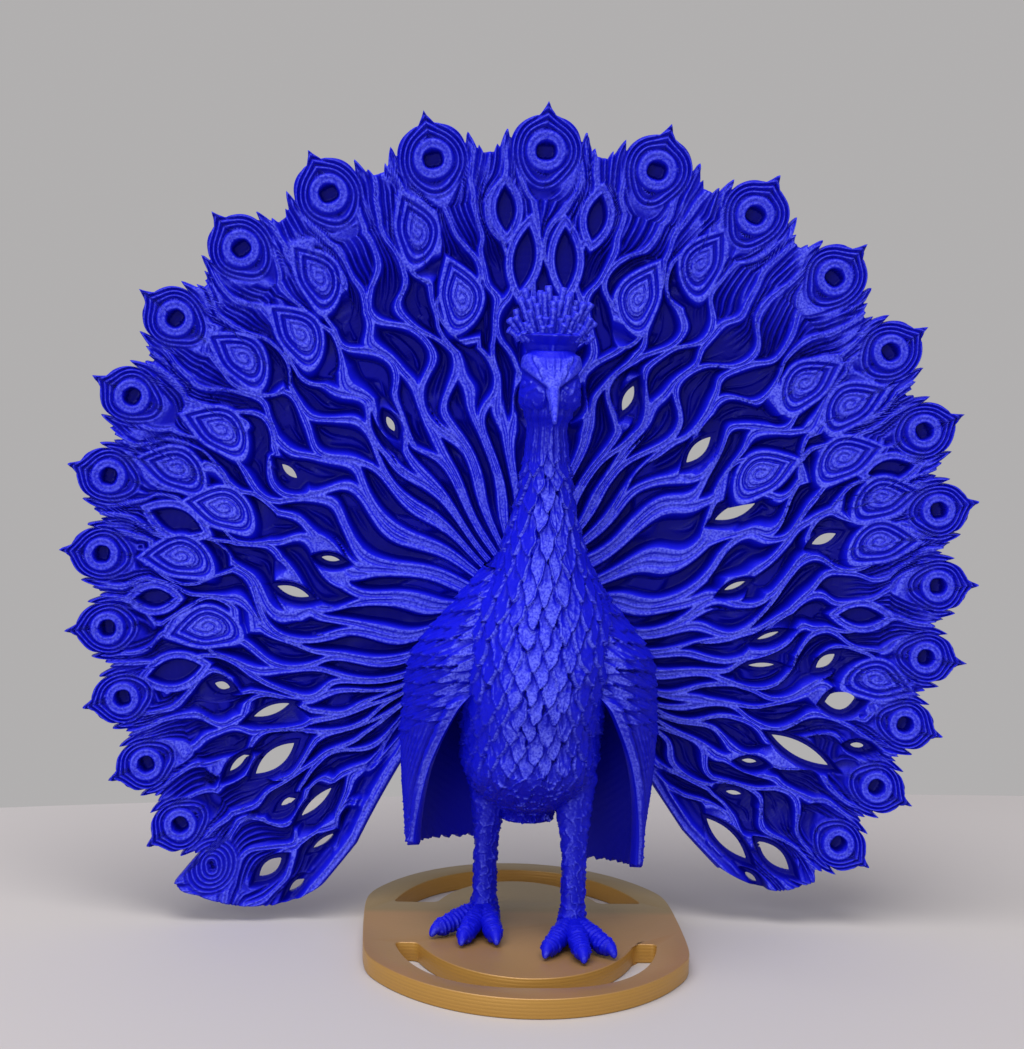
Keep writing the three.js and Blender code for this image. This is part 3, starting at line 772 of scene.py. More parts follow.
def fan_surface(column, row, front, flagged):
    """Carry vertices of the flat sheet to the fan; also returns the depth of the relief.

    Towards the plain lower edges the relief fades, and a few strands run along them instead.
    """
    angle, distance, from_rim, from_left, from_right = fan_place(column, row)
    x, z = disc_point(angle, distance)
    x, z = snap_to_windows(x, z, flagged)
    distance = np.hypot(x, z)
    depth = fan_depth(x, z) * smooth(1.5, 7.5, from_left) * smooth(1.6, 6.0, from_right)
    beside = np.minimum(from_left, from_right + 1.5) + 0.4 * drift(x, z, 0.15, 41)
    edge_strands = 0.4 * (1 - np.cos(beside * 2.6)) * smooth(1.0, 2.4, beside)
    depth = depth + edge_strands * (1 - smooth(5, 9, beside))
    rounding = edge_drop(from_rim, 0.8) + edge_drop(from_left, 1.5) + edge_drop(from_right, 2.4)
    middle, thick = fan_middle_y(distance), fan_half_thickness(distance)
    forward = middle - thick + depth + np.minimum(rounding, 1.2 * thick)
    behind = middle + thick - 0.2 * np.minimum(depth, 4) - np.minimum(0.5 * rounding, 0.5 * thick)
    y = np.where(front, np.minimum(forward, behind - THINNEST_WALL), behind)
    return np.stack([HUB_X + x, y, HUB_Z + z], axis=1) * MM, depth


print("columns are", round((RIGHT_ANGLE - LEFT_ANGLE) / COLUMNS, 3), "degrees wide before the split")

# %% [markdown]
# ## The fan: flat sheets with windows
# Each sector starts as two grids, a fine one for the front and one half as fine for the back. The
# cells inside windows are deleted from both, and the front's border edges are extruded down to the
# back and merged there, which makes all walls at once: the rim, the windows' sides and the cuts.

# %% Flat sector
def split_columns(bm, row):
    lines = [e for e in bm.edges if e.verts[0].co.y == e.verts[1].co.y and e.verts[0].co.y >= row]
    bmesh.ops.subdivide_edges(bm, edges=lines, cuts=1)


def flat_grid(first, last, columns, rows, level):
    bm = bmesh.new()
    bm.verts.layers.float.new("window_edge")
    place = Matrix.Translation(((first + last) / 2, ROWS / 2, level))
    spread = Matrix.Diagonal(((last - first) / 2, ROWS / 2, 1, 1))
    bmesh.ops.create_grid(bm, x_segments=columns, y_segments=rows, size=1, matrix=place @ spread)
    for vert in bm.verts:
        vert.co.x, vert.co.y = round(vert.co.x), round(vert.co.y)
    for row in SPLIT_ROWS:
        split_columns(bm, row)
    return bm


def cut_windows(bm):
    """Delete whole cells of the coarser grid, so that front and back lose the same ones."""
    faces = list(bm.faces)
    middles = np.array([f.calc_center_median() for f in faces])
    across, up = middles[:, 0], middles[:, 1]
    wide = np.where(up < SPLIT_ROWS[0], 2.0, np.where(up < SPLIT_ROWS[1], 1.0, 0.5))
    column = (np.floor(across / wide) + 0.5) * wide
    row = (np.floor(up / 2) + 0.5) * 2
    angle, distance = fan_place(column, row)[:2]
    x, z = disc_point(angle, distance)
    inside = np.zeros(len(faces), bool)
    for window in WINDOWS:
        inside |= window_level(x, z, *window)[0] < 1
    bmesh.ops.delete(bm, geom=[faces[i] for i in np.nonzero(inside)[0]], context="FACES")


def flag_window_edges(bm, first, last):
    flag = bm.verts.layers.float["window_edge"]
    for edge in (e for e in bm.edges if e.is_boundary):
        pair = [v.co for v in edge.verts]
        framed = all(co.x in (first, last) for co in pair) or all(co.y in (0, ROWS) for co in pair)
        for vert in () if framed else edge.verts:
            vert[flag] = 1


def flat_sector(first, last):
    front = flat_grid(first, last, last - first, ROWS, 1)
    back = flat_grid(first, last, (last - first) // 2, ROWS // 2, 0)
    for sheet in (front, back):
        cut_windows(sheet)
    bmesh.ops.subdivide_edges(back, edges=[e for e in back.edges if e.is_boundary], cuts=1)
    for sheet in (front, back):
        flag_window_edges(sheet, first, last)
    border = [e for e in front.edges if e.is_boundary]
    walls = bmesh.ops.extrude_edge_only(front, edges=border)["geom"]
    for vert in (v for v in walls if isinstance(v, bmesh.types.BMVert)):
        vert.co.z = 0
    holder = bpy.data.meshes.new("holder")
    back.to_mesh(holder)
    back.free()
    front.from_mesh(holder)
    bpy.data.meshes.remove(holder)
    bmesh.ops.remove_doubles(front, verts=[v for v in front.verts if v.co.z == 0], dist=1e-3)
    bmesh.ops.recalc_face_normals(front, faces=front.faces)
    return front


print("sector columns:", SECTOR_COLUMNS)

# %% [markdown]
# ## The fan: seven finished sectors
# The flat sectors are carried to the fan with NumPy. Where two sectors meet, both take the same
# normals, worked out from the surface function, so that the joint can't be seen. Each vertex keeps
# how deep it lies as the "recess" attribute, compared with the deepest cells at its distance from
# the hub; from it the plastic paints shade into the colour, a little more towards the rim. Each
# sector stands for the CAD feathers whose middles it holds.

# %% Build the fan
BACK_RECESS = 0.3
TRAIN_EDGES = {"train_edge_left": LEFT_ANGLE, "train_edge_right": RIGHT_ANGLE}


def read_values(items, key, width=1):
    """One number or one vector of every vertex, as an array."""
    values = np.empty(len(items) * width)
    items.foreach_get(key, values)
    return values.reshape(-1, width) if width > 1 else values


def sheet_normals(column, row, front):
    step = 0.15
    none = np.zeros_like(column)
    east = fan_surface(column + step, row, front, none)[0]
    west = fan_surface(column - step, row, front, none)[0]
    north = fan_surface(column, row + step, front, none)[0]
    south = fan_surface(column, row - step, front, none)[0]
    normal = np.cross(east - west, north - south) * np.where(front, 1, -1)[:, None]
    return normal / np.linalg.norm(normal, axis=1)[:, None]


def set_depth_attribute(mesh, values):
    layer = mesh.attributes.new("recess", "FLOAT", "POINT")
    layer.data.foreach_set("value", np.clip(values, -1, 1).astype(np.float32))


def finish_piece(name, mesh, material, nodes=()):
    mesh.polygons.foreach_set("use_smooth", np.ones(len(mesh.polygons), bool))
    mesh.materials.append(material)
    piece = bpy.data.objects.new(name, mesh)
    scene.collection.objects.link(piece)
    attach(piece, "root")
    if nodes:
        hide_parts(*nodes)
    return piece


def fan_sector(name, first, last, nodes):
    bm = flat_sector(first, last)
    mesh = bpy.data.meshes.new(name)
    bm.to_mesh(mesh)
    bm.free()
    column, row, level = read_values(mesh.vertices, "co", 3).T
    front = level > 0.5
    flagged = read_values(mesh.attributes["window_edge"].data, "value")
    places, depth = fan_surface(column, row, front, flagged)
    mesh.attributes.remove(mesh.attributes["window_edge"])
    mesh.vertices.foreach_set("co", places.ravel())
    mesh.update()
    from_hub = np.hypot(places[:, 0] / MM - HUB_X, places[:, 2] / MM - HUB_Z)
    darkest = np.interp(from_hub, [30, 60, 84], [4.0, 4.3, 2.1])
    # Painted shade: deeper vertices get a darker blue, and the outer zone a little more.
    recess = depth / darkest + 0.1 * smooth(78, 92, from_hub)
    set_depth_attribute(mesh, np.where(front, recess, BACK_RECESS))
    normals = read_values(mesh.vertex_normals, "vector", 3)
    cut = np.zeros(len(column), bool)
    for border in (first, last):
        if 0 < border < COLUMNS:
            cut |= np.abs(column - border) < 1e-3
    normals[cut] = sheet_normals(column[cut], row[cut], front[cut])
    piece = finish_piece(name, mesh, BLUE, nodes)
    mesh.normals_split_custom_set_from_vertices(normals.tolist())
    return piece


def train_node_angle(node):
    if node in TRAIN_EDGES:
        return TRAIN_EDGES[node]
    side = {"left": -1, "mid": 0, "right": 1}[node.split("_")[2]]
    return feather_angle(side * int(node.split("_")[-1]) if side else 0)


def train_nodes_between(low, high):
    train = [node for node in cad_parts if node.startswith("train_")]
    return [node for node in train if low <= train_node_angle(node) < high]


for index, sector in enumerate(SECTOR_NAMES):
    first, last = SECTOR_COLUMNS[index], SECTOR_COLUMNS[index + 1]
    low, high = (LEFT_ANGLE + (RIGHT_ANGLE - LEFT_ANGLE) * c / COLUMNS for c in (first, last))
    nodes = train_nodes_between(low, high + (1 if last == COLUMNS else 0))
    piece = fan_sector("train_" + sector, first, last, nodes)
    print(piece.name, "faces", len(piece.data.polygons), "replaces", len(nodes), "nodes")

# %% [markdown]
# ## Skins: a grid wrapped round a body part
# Trunk, wings, legs and toes are all closed tubes. Each starts as a flat grid made by bmesh; a
# function bends its columns round the part and its rows along it, and the seam and both ends are
# merged, so every skin is closed. Fine relief is added in the same function, as a height along the
# skin's outward direction, where a sculptor would use a displacement brush.

# %% Wrap tool
def curve_at(z, places, values):
    """A smooth curve through a few values (cubic Hermite with averaged slopes)."""
    places, values = np.asarray(places, float), np.asarray(values, float)
    slopes = np.gradient(values, places)
    i = np.clip(np.searchsorted(places, z) - 1, 0, len(places) - 2)
    width = places[i + 1] - places[i]
    t = np.clip((z - places[i]) / width, 0, 1)
    start, end = 2 * t**3 - 3 * t**2 + 1, -2 * t**3 + 3 * t**2
    lift, fall = t**3 - 2 * t**2 + t, t**3 - t**2
    return start * values[i] + end * values[i + 1] + width * (lift * slopes[i] + fall * slopes[i + 1])


def wrap_into(bm, columns, rows, place):
    """Add one closed tube; place(x, y) gives millimetres and recess for x, y from 0 to 1."""
    sheet = bmesh.new()
    half = Matrix.Translation((0.5, 0.5, 0)) @ Matrix.Diagonal((0.5, 0.5, 1, 1))
    bmesh.ops.create_grid(sheet, x_segments=columns, y_segments=rows, size=1, matrix=half)
    mesh = bpy.data.meshes.new("sheet")
    sheet.to_mesh(mesh)
    sheet.free()
    x, y, _ = read_values(mesh.vertices, "co", 3).T
    places, recess = place(x, y)
    mesh.vertices.foreach_set("co", (places * MM).ravel())
    set_depth_attribute(mesh, recess)
    part = bmesh.new()
    part.from_mesh(mesh)
    rim = [v for v in part.verts if v.is_boundary]
    bmesh.ops.remove_doubles(part, verts=rim, dist=2e-6)
    bmesh.ops.recalc_face_normals(part, faces=part.faces)
    part.to_mesh(mesh)
    part.free()
    bm.from_mesh(mesh)
    bpy.data.meshes.remove(mesh)


def blue_skin(name, tubes, nodes=()):
    """A blue piece made of closed tubes, each given as columns, rows and a place function."""
    bm = bmesh.new()
    bm.verts.layers.float.new("recess")
    for columns, rows, place in tubes:
        wrap_into(bm, columns, rows, place)
    mesh = bpy.data.meshes.new(name)
    bm.to_mesh(mesh)
    bm.free()
    finish_piece(name, mesh, BLUE, nodes)
    print(name, "faces", len(mesh.polygons))


def unit(v):
    return v / np.maximum(np.linalg.norm(v, axis=-1, keepdims=True), 1e-9)


def worms(p, scale, seed, width=0.35):
    """Ridges that wander like melted threads: 1 on a ridge and 0 between."""
    rng = np.random.default_rng(seed)
    total = 0
    for _ in range(7):
        way = rng.normal(size=3)
        way = way / np.linalg.norm(way) * rng.uniform(0.7, 1.5) * scale
        total = total + np.sin(p @ way + rng.uniform(0, 6.28))
    return 1 - smooth(0, width, np.abs(total / 2))


def cap_rows(y, cap):
    """Where a row lies along a tube (0 to 1), and how far it is out of the end caps (0 to 1)."""
    return np.clip((y - cap) / (1 - 2 * cap), 0, 1), np.clip(np.minimum(y, 1 - y) / cap, 0, 1)


def tube_along(points, radius, flatten=1.0, relief=None, flat_end=False, pale=0.0):
    """A place function for a round limb along a few points (millimetres)."""
    points = np.asarray(points, float)
    stops = np.concatenate([[0], np.cumsum(np.linalg.norm(np.diff(points, axis=0), axis=1))])

    def line_at(along):
        return np.stack([curve_at(along, stops, points[:, i]) for i in range(3)], axis=1)

    def place(x, y):
        share, end = cap_rows(y, 0.08)
        along = share * stops[-1]
        middle = line_at(along)
        forward = unit(line_at(along + 0.05) - line_at(along - 0.05))
        side = unit(np.cross(forward, [0.03, -1, 0.2]))
        other = np.cross(side, forward)
        angle = 2 * np.pi * x
        r = radius(share)
        out = np.cos(angle)[:, None] * side + flatten * np.sin(angle)[:, None] * other
        lift = np.zeros_like(x) if relief is None else relief(middle + out * r[:, None], share, angle)
        reach = (r + lift) * (end if flat_end else np.sqrt(1 - (1 - end) ** 2))
        shift = np.where(y > 0.5, 1, -1) * (1 - end) * 0.5 * r * (0 if flat_end else 1)
        places = middle + out * reach[:, None] + forward * shift[:, None]
        # Recess: pale gives the whole tube a painted highlight; raised relief gets painted highlight and
        # sunken relief painted shade.
        return places, 0.25 - pale - 0.6 * lift

    return place


straight = tube_along([(0, 0, 0), (0, 0, 9)], np.ones_like)
sample = straight(np.array([0.0, 0.25]), np.array([0.5, 0.5]))[0]
print("two points half-way up a straight tube:", sample.round(2).tolist())

# %% [markdown]
# ## Scales
# Breast feathers overlap like roof tiles. A staggered lattice is laid over the skin and painted from
# the bottom row up, so that each feather's pointed tip lies over the row below it. A feather rises
# towards its tip, has a thin raised edge, and throws a dark gap round itself.

# %% Scale relief
def hashed(i, j, seed):
    """A number from 0 to 1 that looks random but is always the same for one scale."""
    v = np.sin(i * 12.9898 + j * 78.233 + seed * 37.719) * 43758.5453
    return v - np.floor(v)


def scale_relief(u, v, size, reach=1.1, gap_depth=0.3, lip=0.16):
    """Height in millimetres of overlapping scales; u across and v upwards count scales."""
    height = np.full_like(u, -gap_depth)
    row_here = np.floor(v)
    for step in (-1, 0, 1, 2):
        row = row_here + step
        column = np.round(u - 0.5 * np.mod(row, 2))
        sway = hashed(column, row, 1) - 0.5
        a = u - (column + 0.5 * np.mod(row, 2)) - 0.26 * sway
        b = row - v + 0.42 * (hashed(column, row, 2) - 0.5)
        tip = np.clip((b - 0.05) / (reach - 0.05), 0, 1)
        half = (0.4 + 0.12 * hashed(column, row, 4)) * (1 - tip**1.8) * np.clip((b + 1.1) / 0.5, 0, 1)
        edge = (half - np.abs(a)) * size
        rise = 0.1 + 0.42 * np.clip((b + 0.3) / 1.3, 0, 1) + 0.15 * (hashed(column, row, 3) - 0.5)
        raised = lip * hump(edge, 0.3, 0.22)
        inside = smooth(0, 0.25, edge)
        gap = gap_depth * hump(np.minimum(edge, 0), 0, 0.4) * (1 - inside)
        height = (height - gap * 0.6) * (1 - inside) + (rise + raised) * inside
    return np.maximum(height, -2 * gap_depth)


sample = scale_relief(np.array([0.0]), np.array([4.0]), 5.0)[0]
print("a scale's height at its middle:", round(float(sample), 2), "mm")

# %% [markdown]
# ## Trunk, neck and head: the ovals
# One skin runs from the belly over the breast and neck to the crown, so no seam shows. It is a
# stack of ovals, given by height. The scales grow from the belly to the breast and shrink up the
# neck, so their rows are counted by adding up one over their length.

# %% Body ovals and scale rows
# Each oval's height, its middle's x and y, and half of its width and depth.
BODY_OVALS = [
    (31, 0, -2, 6.2, 6), (34, 0, -2.6, 7.2, 7.5), (37, 0, -4.6, 11, 12.4), (42, 0, -6, 14.5, 17),
    (52, 0, -5.5, 15.8, 20), (62, 0.2, -6.5, 17, 21.8), (72, 0.6, -7, 18.6, 21),
    (82, 1, -8.5, 16.8, 17.6), (92, 1.2, -11, 11, 13.4), (103, 1.2, -13, 7.1, 9.6),
    (113, 1.2, -14.2, 5.2, 6.9), (120, 1, -15.4, 4.7, 6), (125.5, 0.9, -17.2, 4.6, 5.7),
    (127.4, 0.9, -18.6, 5.7, 6.8), (129, 0.9, -19.4, 6.5, 7.6), (131, 0.9, -20.2, 6.8, 8.6),
    (135, 0.9, -20.6, 6.3, 8.9), (138.4, 0.9, -20.6, 6.2, 8.3), (140.6, 0.9, -20.4, 5.6, 7.2),
    (141.4, 0.9, -20.4, 5, 6.6),
]
BODY_Z, *BODY_SHAPE = zip(*BODY_OVALS)
HEAD_MIDDLE = 0.9
JAW_Z, NECK_WIDE, NECK_DEEP = 128.9, 5.3, 6.6
# A scale's length by height, and the rows of scales counted up to each height.
SCALE_Z, SCALE_LONG = [31, 50, 80, 95, 105, 113, 122], [3.6, 3.9, 4.9, 5.3, 4.6, 3.2, 2.3]
ROW_Z = np.linspace(BODY_Z[0], 130, 400)
ROW_COUNTS = np.cumsum(np.diff(ROW_Z) / np.interp(ROW_Z[1:], SCALE_Z, SCALE_LONG))
ROW_COUNTS = np.concatenate([[0], ROW_COUNTS])
print("rows of scales up to the head:", round(float(ROW_COUNTS[-1]), 1))

# %% [markdown]
# ## The face
# Two brow lobes flank a wedge that narrows down to the beak; lobes and wedge get a painted
# highlight. Beside the wedge lie rough cheeks with an eyelid on each. The face is worked out in its
# own plane, from the distance to the middle and the height, so that both halves match.

# %% Face relief
def line_gap(px, pz, start, end):
    """Distance from a short line in the face's plane, and the place along it (0 to 1)."""
    dx, dz = end[0] - start[0], end[1] - start[1]
    along = ((px - start[0]) * dx + (pz - start[1]) * dz) / (dx**2 + dz**2)
    along = np.clip(along, 0, 1)
    return np.hypot(px - start[0] - along * dx, pz - start[1] - along * dz), along


def face_relief(px, z, front):
    """Height of the brow lobes, wedge, cheeks and eyelids, and where the face gets a painted highlight.
    """
    side = np.abs(px)
    gap, along = line_gap(side, z, (4.4, 138.7), (1.2, 134.6))
    lobe_mask = 1 - smooth(-0.3, 0.35, gap - (2.0 - 1.1 * along))
    wedge_half = np.interp(z, [128.6, 133.5, 139.5], [0.5, 1.2, 3.9])
    wedge_mask = (1 - smooth(-0.3, 0.3, side - wedge_half)) * (1 - smooth(139.6, 140.6, z))
    wedge = wedge_mask * (1.3 - 0.85 * smooth(133.6, 138, z))
    furrow = -0.25 * np.abs(np.sin(side * 2.6)) * smooth(135.0, 137.0, z) * wedge_mask
    brow_line = 133.2 + 0.62 * (side - 1.4)
    middle, half = (brow_line + 128.7) / 2, (brow_line - 128.7) / 2
    plate = np.maximum(np.abs(side - 4.4) / 2.9, np.abs(z - middle) / half)
    corner = np.hypot((side - 4.4) / 3.3, (z - middle) / (1.15 * half))
    cheek_gap = 0.5 * plate + 0.5 * corner
    mottle = worms(np.stack([px, np.zeros_like(z), z], axis=1), 2.0, 12, 0.5)
    cheek = (0.3 + 0.26 * mottle) * (1 - smooth(0.85, 1.0, cheek_gap))
    cheek = cheek - 0.4 * hump(cheek_gap, 1.07, 0.09)
    hollow = -0.3 * np.exp(-((side - 2.9) ** 2 + (z - 133.0) ** 2 * 0.5) / 1.5)
    eye_gap = np.hypot((side - 5.6) * 1.2, z - 133.9)
    lid = 0.08 * hump(eye_gap, 1.5, 0.4)
    crease = -0.4 * hump(side - wedge_half, 0.2, 0.28) * smooth(134.6, 135.6, z) * lobe_mask
    # Painted highlight on the brow lobes and the wedge.
    highlight_mask = np.maximum(0.1 * lobe_mask + 0.2, wedge_mask) * front
    lift = np.maximum(lobe_mask, wedge) + furrow + crease + cheek + hollow + lid + 0.12 * mottle
    return lift * front, highlight_mask


wedge_lift, wedge_highlight = face_relief(np.array([0.0]), np.array([137.0]), 1)
print("the wedge's height:", round(float(wedge_lift[0]), 2), "mm")
print("the wedge's brightness:", float(wedge_highlight[0]))

# %% [markdown]
# ## The body skin
# Long scales cover the breast and turn into upright folds below the head. The lowest belly is
# rough, because it was printed over supports. The cheeks' ragged lower edge hangs over the neck.

# %% Body skin
def plumage_relief(p, turn, wide, front):
    """Height of the scales, the rough belly and the neck's folds; turn is 0 in front."""
    z = p[:, 2]
    rows = np.interp(z, ROW_Z, ROW_COUNTS)
    across = turn * wide**0.85 * 17**0.15 / 4.1
    across = across + 0.07 * drift(turn * 20, z, 0.3, 8) + 0.05 * drift(turn * 14, z, 1.1, 9)
    scales = 1.5 * scale_relief(across, rows, 4.6, lip=0.16 + 0.16 * np.abs(np.sin(turn)))
    rough = worms(p, 1.9, 4) - 0.4
    stringy = worms(p * [1, 1, 0.6], 2.6, 6, 0.5) - 0.3
    low = 1 - smooth(44, 52, z + 3 * np.abs(np.sin(turn)) - 1.5 * rough)
    high = smooth(113, 121, z)
    body = scales * (1 - 0.75 * low) * (1 - high) + 0.85 * rough * low + 0.14 * stringy * (1 - high)
    folds = 0.2 * np.sin(turn * 14 + 0.9 * drift(turn * 8, z, 0.2, 3)) ** 3 + 0.16 * stringy
    rungs = 0.12 * (np.sin(z * 4.2) > 0.3) * (np.abs(turn) < 0.13)
    middle_fold = 0.3 * hump(np.abs(turn), 0.16, 0.06) + rungs
    neck = (folds + middle_fold * front) * high * (1 - smooth(128, 129, z))
    return (body + neck) * (1 - smooth(2.7, 3.1, np.abs(turn)))


def body_place(x, y):
    """Columns lie closer in front. Above the ragged jaw line the neck widens to the head."""
    t = 2 * x - 1
    turn = np.pi * (0.62 * t + 0.38 * t**3)
    cap_low, cap_high = np.clip(y / 0.02, 0, 1), np.clip((1 - y) / 0.02, 0, 1)
    z = BODY_Z[0] + (BODY_Z[-1] - BODY_Z[0]) * np.clip((y - 0.02) / 0.96, 0, 1)
    middle_x, middle_y, wide, deep = (curve_at(z, BODY_Z, v) for v in BODY_SHAPE)
    ragged = JAW_Z + 0.5 * np.sin(turn * 17) + 0.35 * np.sin(turn * 29 + 1)
    jaw = smooth(ragged - 0.25, ragged + 0.25, z)
    wide = np.where(z > 126, np.minimum(wide, NECK_WIDE) * (1 - jaw) + wide * jaw, wide)
    deep = np.where(z > 126, np.minimum(deep, NECK_DEEP) * (1 - jaw) + deep * jaw, deep)
    s, c = np.sin(turn), np.cos(turn)
    front = smooth(-0.2, 0.5, c)
    p = np.stack([middle_x + s * wide, middle_y - c * deep, z], axis=1)
    face, highlight_mask = face_relief(s * wide, z, front)
    lift = plumage_relief(p, turn, wide, front) + face * jaw
    eased = lift * (smooth(0, 1, cap_low) * smooth(0, 1, cap_high))
    keep = np.minimum(cap_low, cap_high)[:, None]
    out = unit(np.stack([s * deep, -c * wide, np.zeros_like(z)], axis=1))
    centre = np.stack([middle_x, middle_y, z], axis=1)
    ring = (p - centre) * keep + centre + out * eased[:, None]
    # Recess: painted highlight on raised scales and on the face's lobes and wedge, painted shade in the
    # gaps between scales.
    return np.where(keep == 0, centre, ring), 0.3 - 0.75 * lift - 0.6 * highlight_mask * jaw


blue_skin("body_skin", [(230, 340, body_place)], ("trunk", "neck", "head"))

# %% [markdown]
# ## Wings
# The wings hang like a cloak, open in front. Each is a closed shell: its outer side, its rolled
# front edge and its hollow inner side are one loop of columns. Scapular feathers slant over the
# shoulder, and long quills run down from them.

# %% Wing shape and feathers
# Each level's height, its middle's y, half of its width and depth, and the wall's thickness.
WING_LEVELS = [
    (18, 0, 27.4, 15, 2.4), (28, -0.5, 28.2, 16.6, 2.4), (40, -1.5, 29.4, 17.6, 2.6),
    (52, -2.5, 29.7, 18.6, 2.9), (60, -3.5, 29.2, 19.6, 3.6), (68, -4.5, 28.2, 20.4, 4.2),
    (76, -6, 25.4, 19.6, 4), (84, -8, 19.6, 16.8, 3.2), (92, -9.5, 13.4, 12.5, 2.6),
]
WING_Z, *WING_SHAPE, WING_THICK = zip(*WING_LEVELS)
WING_TOP = WING_Z[-1]
# The front edge's height and how far it lies from the middle.
EDGE_Z = [20, 27, 36, 45, 54, 61.5, 68, 76, 84, 92]
EDGE_X = [26.6, 26.4, 25.4, 23.6, 20.4, 16.8, 12.6, 10.6, 8.0, 6.0]
BACK_X = 11.6
FEATHER_LEAN = 0.45
FEATHER_LONG, FEATHER_WIDE = 5.2, 3.4


def wing_relief(z, from_edge, tip_z, stringy):
    """Height of the wing's outer side: quills below, scapular feathers above, and its edge ridge."""
    flow = from_edge + 0.9 * drift(from_edge, z * 0.35, 0.28, 14)
    quill = np.abs(np.mod(flow / 1.7, 1) - 0.5) * 2
    quills = 0.34 * (smooth(0.05, 0.75, quill) - 0.5) + 0.12 * np.sin(flow * 7 + 0.4 * z)
    down, c, s = WING_TOP - z, np.cos(FEATHER_LEAN), np.sin(FEATHER_LEAN)
    long = (from_edge * c + down * s) / FEATHER_LONG
    wide = (down * c - from_edge * s) / FEATHER_WIDE
    feathers = scale_relief(wide, -long, FEATHER_WIDE, lip=0.3)
    feathers = feathers + 0.1 * np.sin((down - 0.5 * from_edge) * 5)
    cover = smooth(55, 58.5, z + 0.35 * from_edge + 1.5 * drift(from_edge, z, 0.5, 15))
    ridge = 0.8 * hump(from_edge, 1.3, 1.1) - 0.55 * hump(from_edge, 3.4, 0.7)
    ridge = ridge * (1 - smooth(60, 67, z))
    low = 1 - smooth(2, 12, z - tip_z)
    lift = 1.25 * quills * (1 - cover) + 1.4 * feathers * cover + ridge
    return lift + (0.12 + 0.35 * low) * stringy


quill_lift = wing_relief(np.full(3, 40.0), np.array([6.0, 6.4, 6.8]), 25.4, 0)
print("height across one quill:", quill_lift.round(2).tolist())

# %% [markdown]
# ## The wing skins
# The columns start behind, run along the outer side to the front edge, and come back inside. The
# wall swells at the shoulder, where the real wing is solid. The lower ends are cut off raggedly.

# %% Wing skins
def wing_wall(z, outer, from_edge, roll):
    """Thickness from the outer side: the inner side, the rolled edge and the swollen shoulder."""
    thick = np.where(outer, 0.0, np.interp(z, WING_Z, WING_THICK)) * np.sqrt(1 - roll**2)
    swell = 5.5 * np.clip(1 - from_edge / 9, 0, 1) ** 1.5
    return thick + smooth(60, 67, z) * swell + 2.2 * smooth(70, 80, z)


def wing_place(side, tip_z):
    def place(x, y):
        outer = x < 0.5
        share = np.clip(np.where(outer, x, 1 - x) * 2 / 0.97, 0, 1)
        up, keep = cap_rows(y, 0.012)
        z = tip_z + (WING_TOP - tip_z) * up
        middle, wide, deep = (curve_at(z, WING_Z, v) for v in WING_SHAPE)
        start = np.arcsin(np.clip(curve_at(z, EDGE_Z, EDGE_X) / wide, 0, 0.97))
        end = np.pi - np.arcsin(np.clip(BACK_X / wide, 0, 1))
        turn = end + (start - end) * share
        from_edge = (turn - start) * 0.5 * (wide + deep)
        roll = np.clip(1 - from_edge / 1.6, 0, 1)
        thick = wing_wall(z, outer, from_edge, roll)
        s, c = np.sin(turn), np.cos(turn)
        out = unit(np.stack([s * deep, -c * wide, np.zeros_like(z)], axis=1))
        p = np.stack([s * wide, middle - c * deep, z], axis=1)
        stringy = worms(p, 2.1, 17, 0.4)
        inner = 0.3 * hump(from_edge, 3, 0.8) - 0.05 * np.sin((z + from_edge) * 1.9) ** 9
        lift = np.where(outer, wing_relief(z, from_edge, tip_z, stringy), inner)
        eased = lift * (smooth(0, 0.03, np.minimum(share, 1 - share)) * keep)
        p_now = p + out * (eased - thick)[:, None]
        core = p - out * (0.5 * np.interp(z, WING_Z, WING_THICK))[:, None]
        p_now = core + (p_now - core) * np.sqrt(1 - (1 - keep) ** 2)[:, None]
        ragged = 0.5 * np.sin(from_edge * 1.9) + 0.35 * np.sin(from_edge * 4.3 + 1)
        lowered = -0.14 * np.clip(p_now[:, 1] + 6, 0, 25)
        p_now[:, 2] += (0.7 * ragged + lowered) * (1 - smooth(0, 9, z - tip_z))
        p_now[:, 0] *= side
        # Recess: painted highlight on raised feathers outside, painted shade on the hollow inner side,
        # less at the rolled edge.
        return p_now, np.where(outer, 0.32 - 0.7 * lift, 0.6 - 0.3 * roll)

    return place


for side, name, tip_z in ((-1, "left", 25.4), (1, "right", 20.4)):
    blue_skin(f"wing_skin_{name}", [(240, 190, wing_place(side, tip_z))], (f"wing_{name}",))

# %% [markdown]
# ## Crest
# The crest is a flared cup on the crown with blunt rods standing in four tiers, the shortest in
# front. Its height comes from the CAD node's box. Rods are short tubes with flat ends and a small
# knob, as a coarse nozzle leaves them. They catch the light, so a painted highlight is put on them.

# %% Crest
CREST_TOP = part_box("crest")[1].z / MM
ROD_ROOT_Z = 143.4
# Each tier's rods, half width, fan of tilts, y, forward lean, height reached and rod radius.
CREST_TIERS = (
    (14, 7.2, 46, -24.8, 20, 146.6, 0.7),
    (13, 6.2, 36, -23.2, 12, 149.6, 0.72),
    (11, 4.9, 24, -21.0, 4, 153.0, 0.74),
    (8, 3.6, 12, -19.2, -2, CREST_TOP - 0.9, 0.76),
)


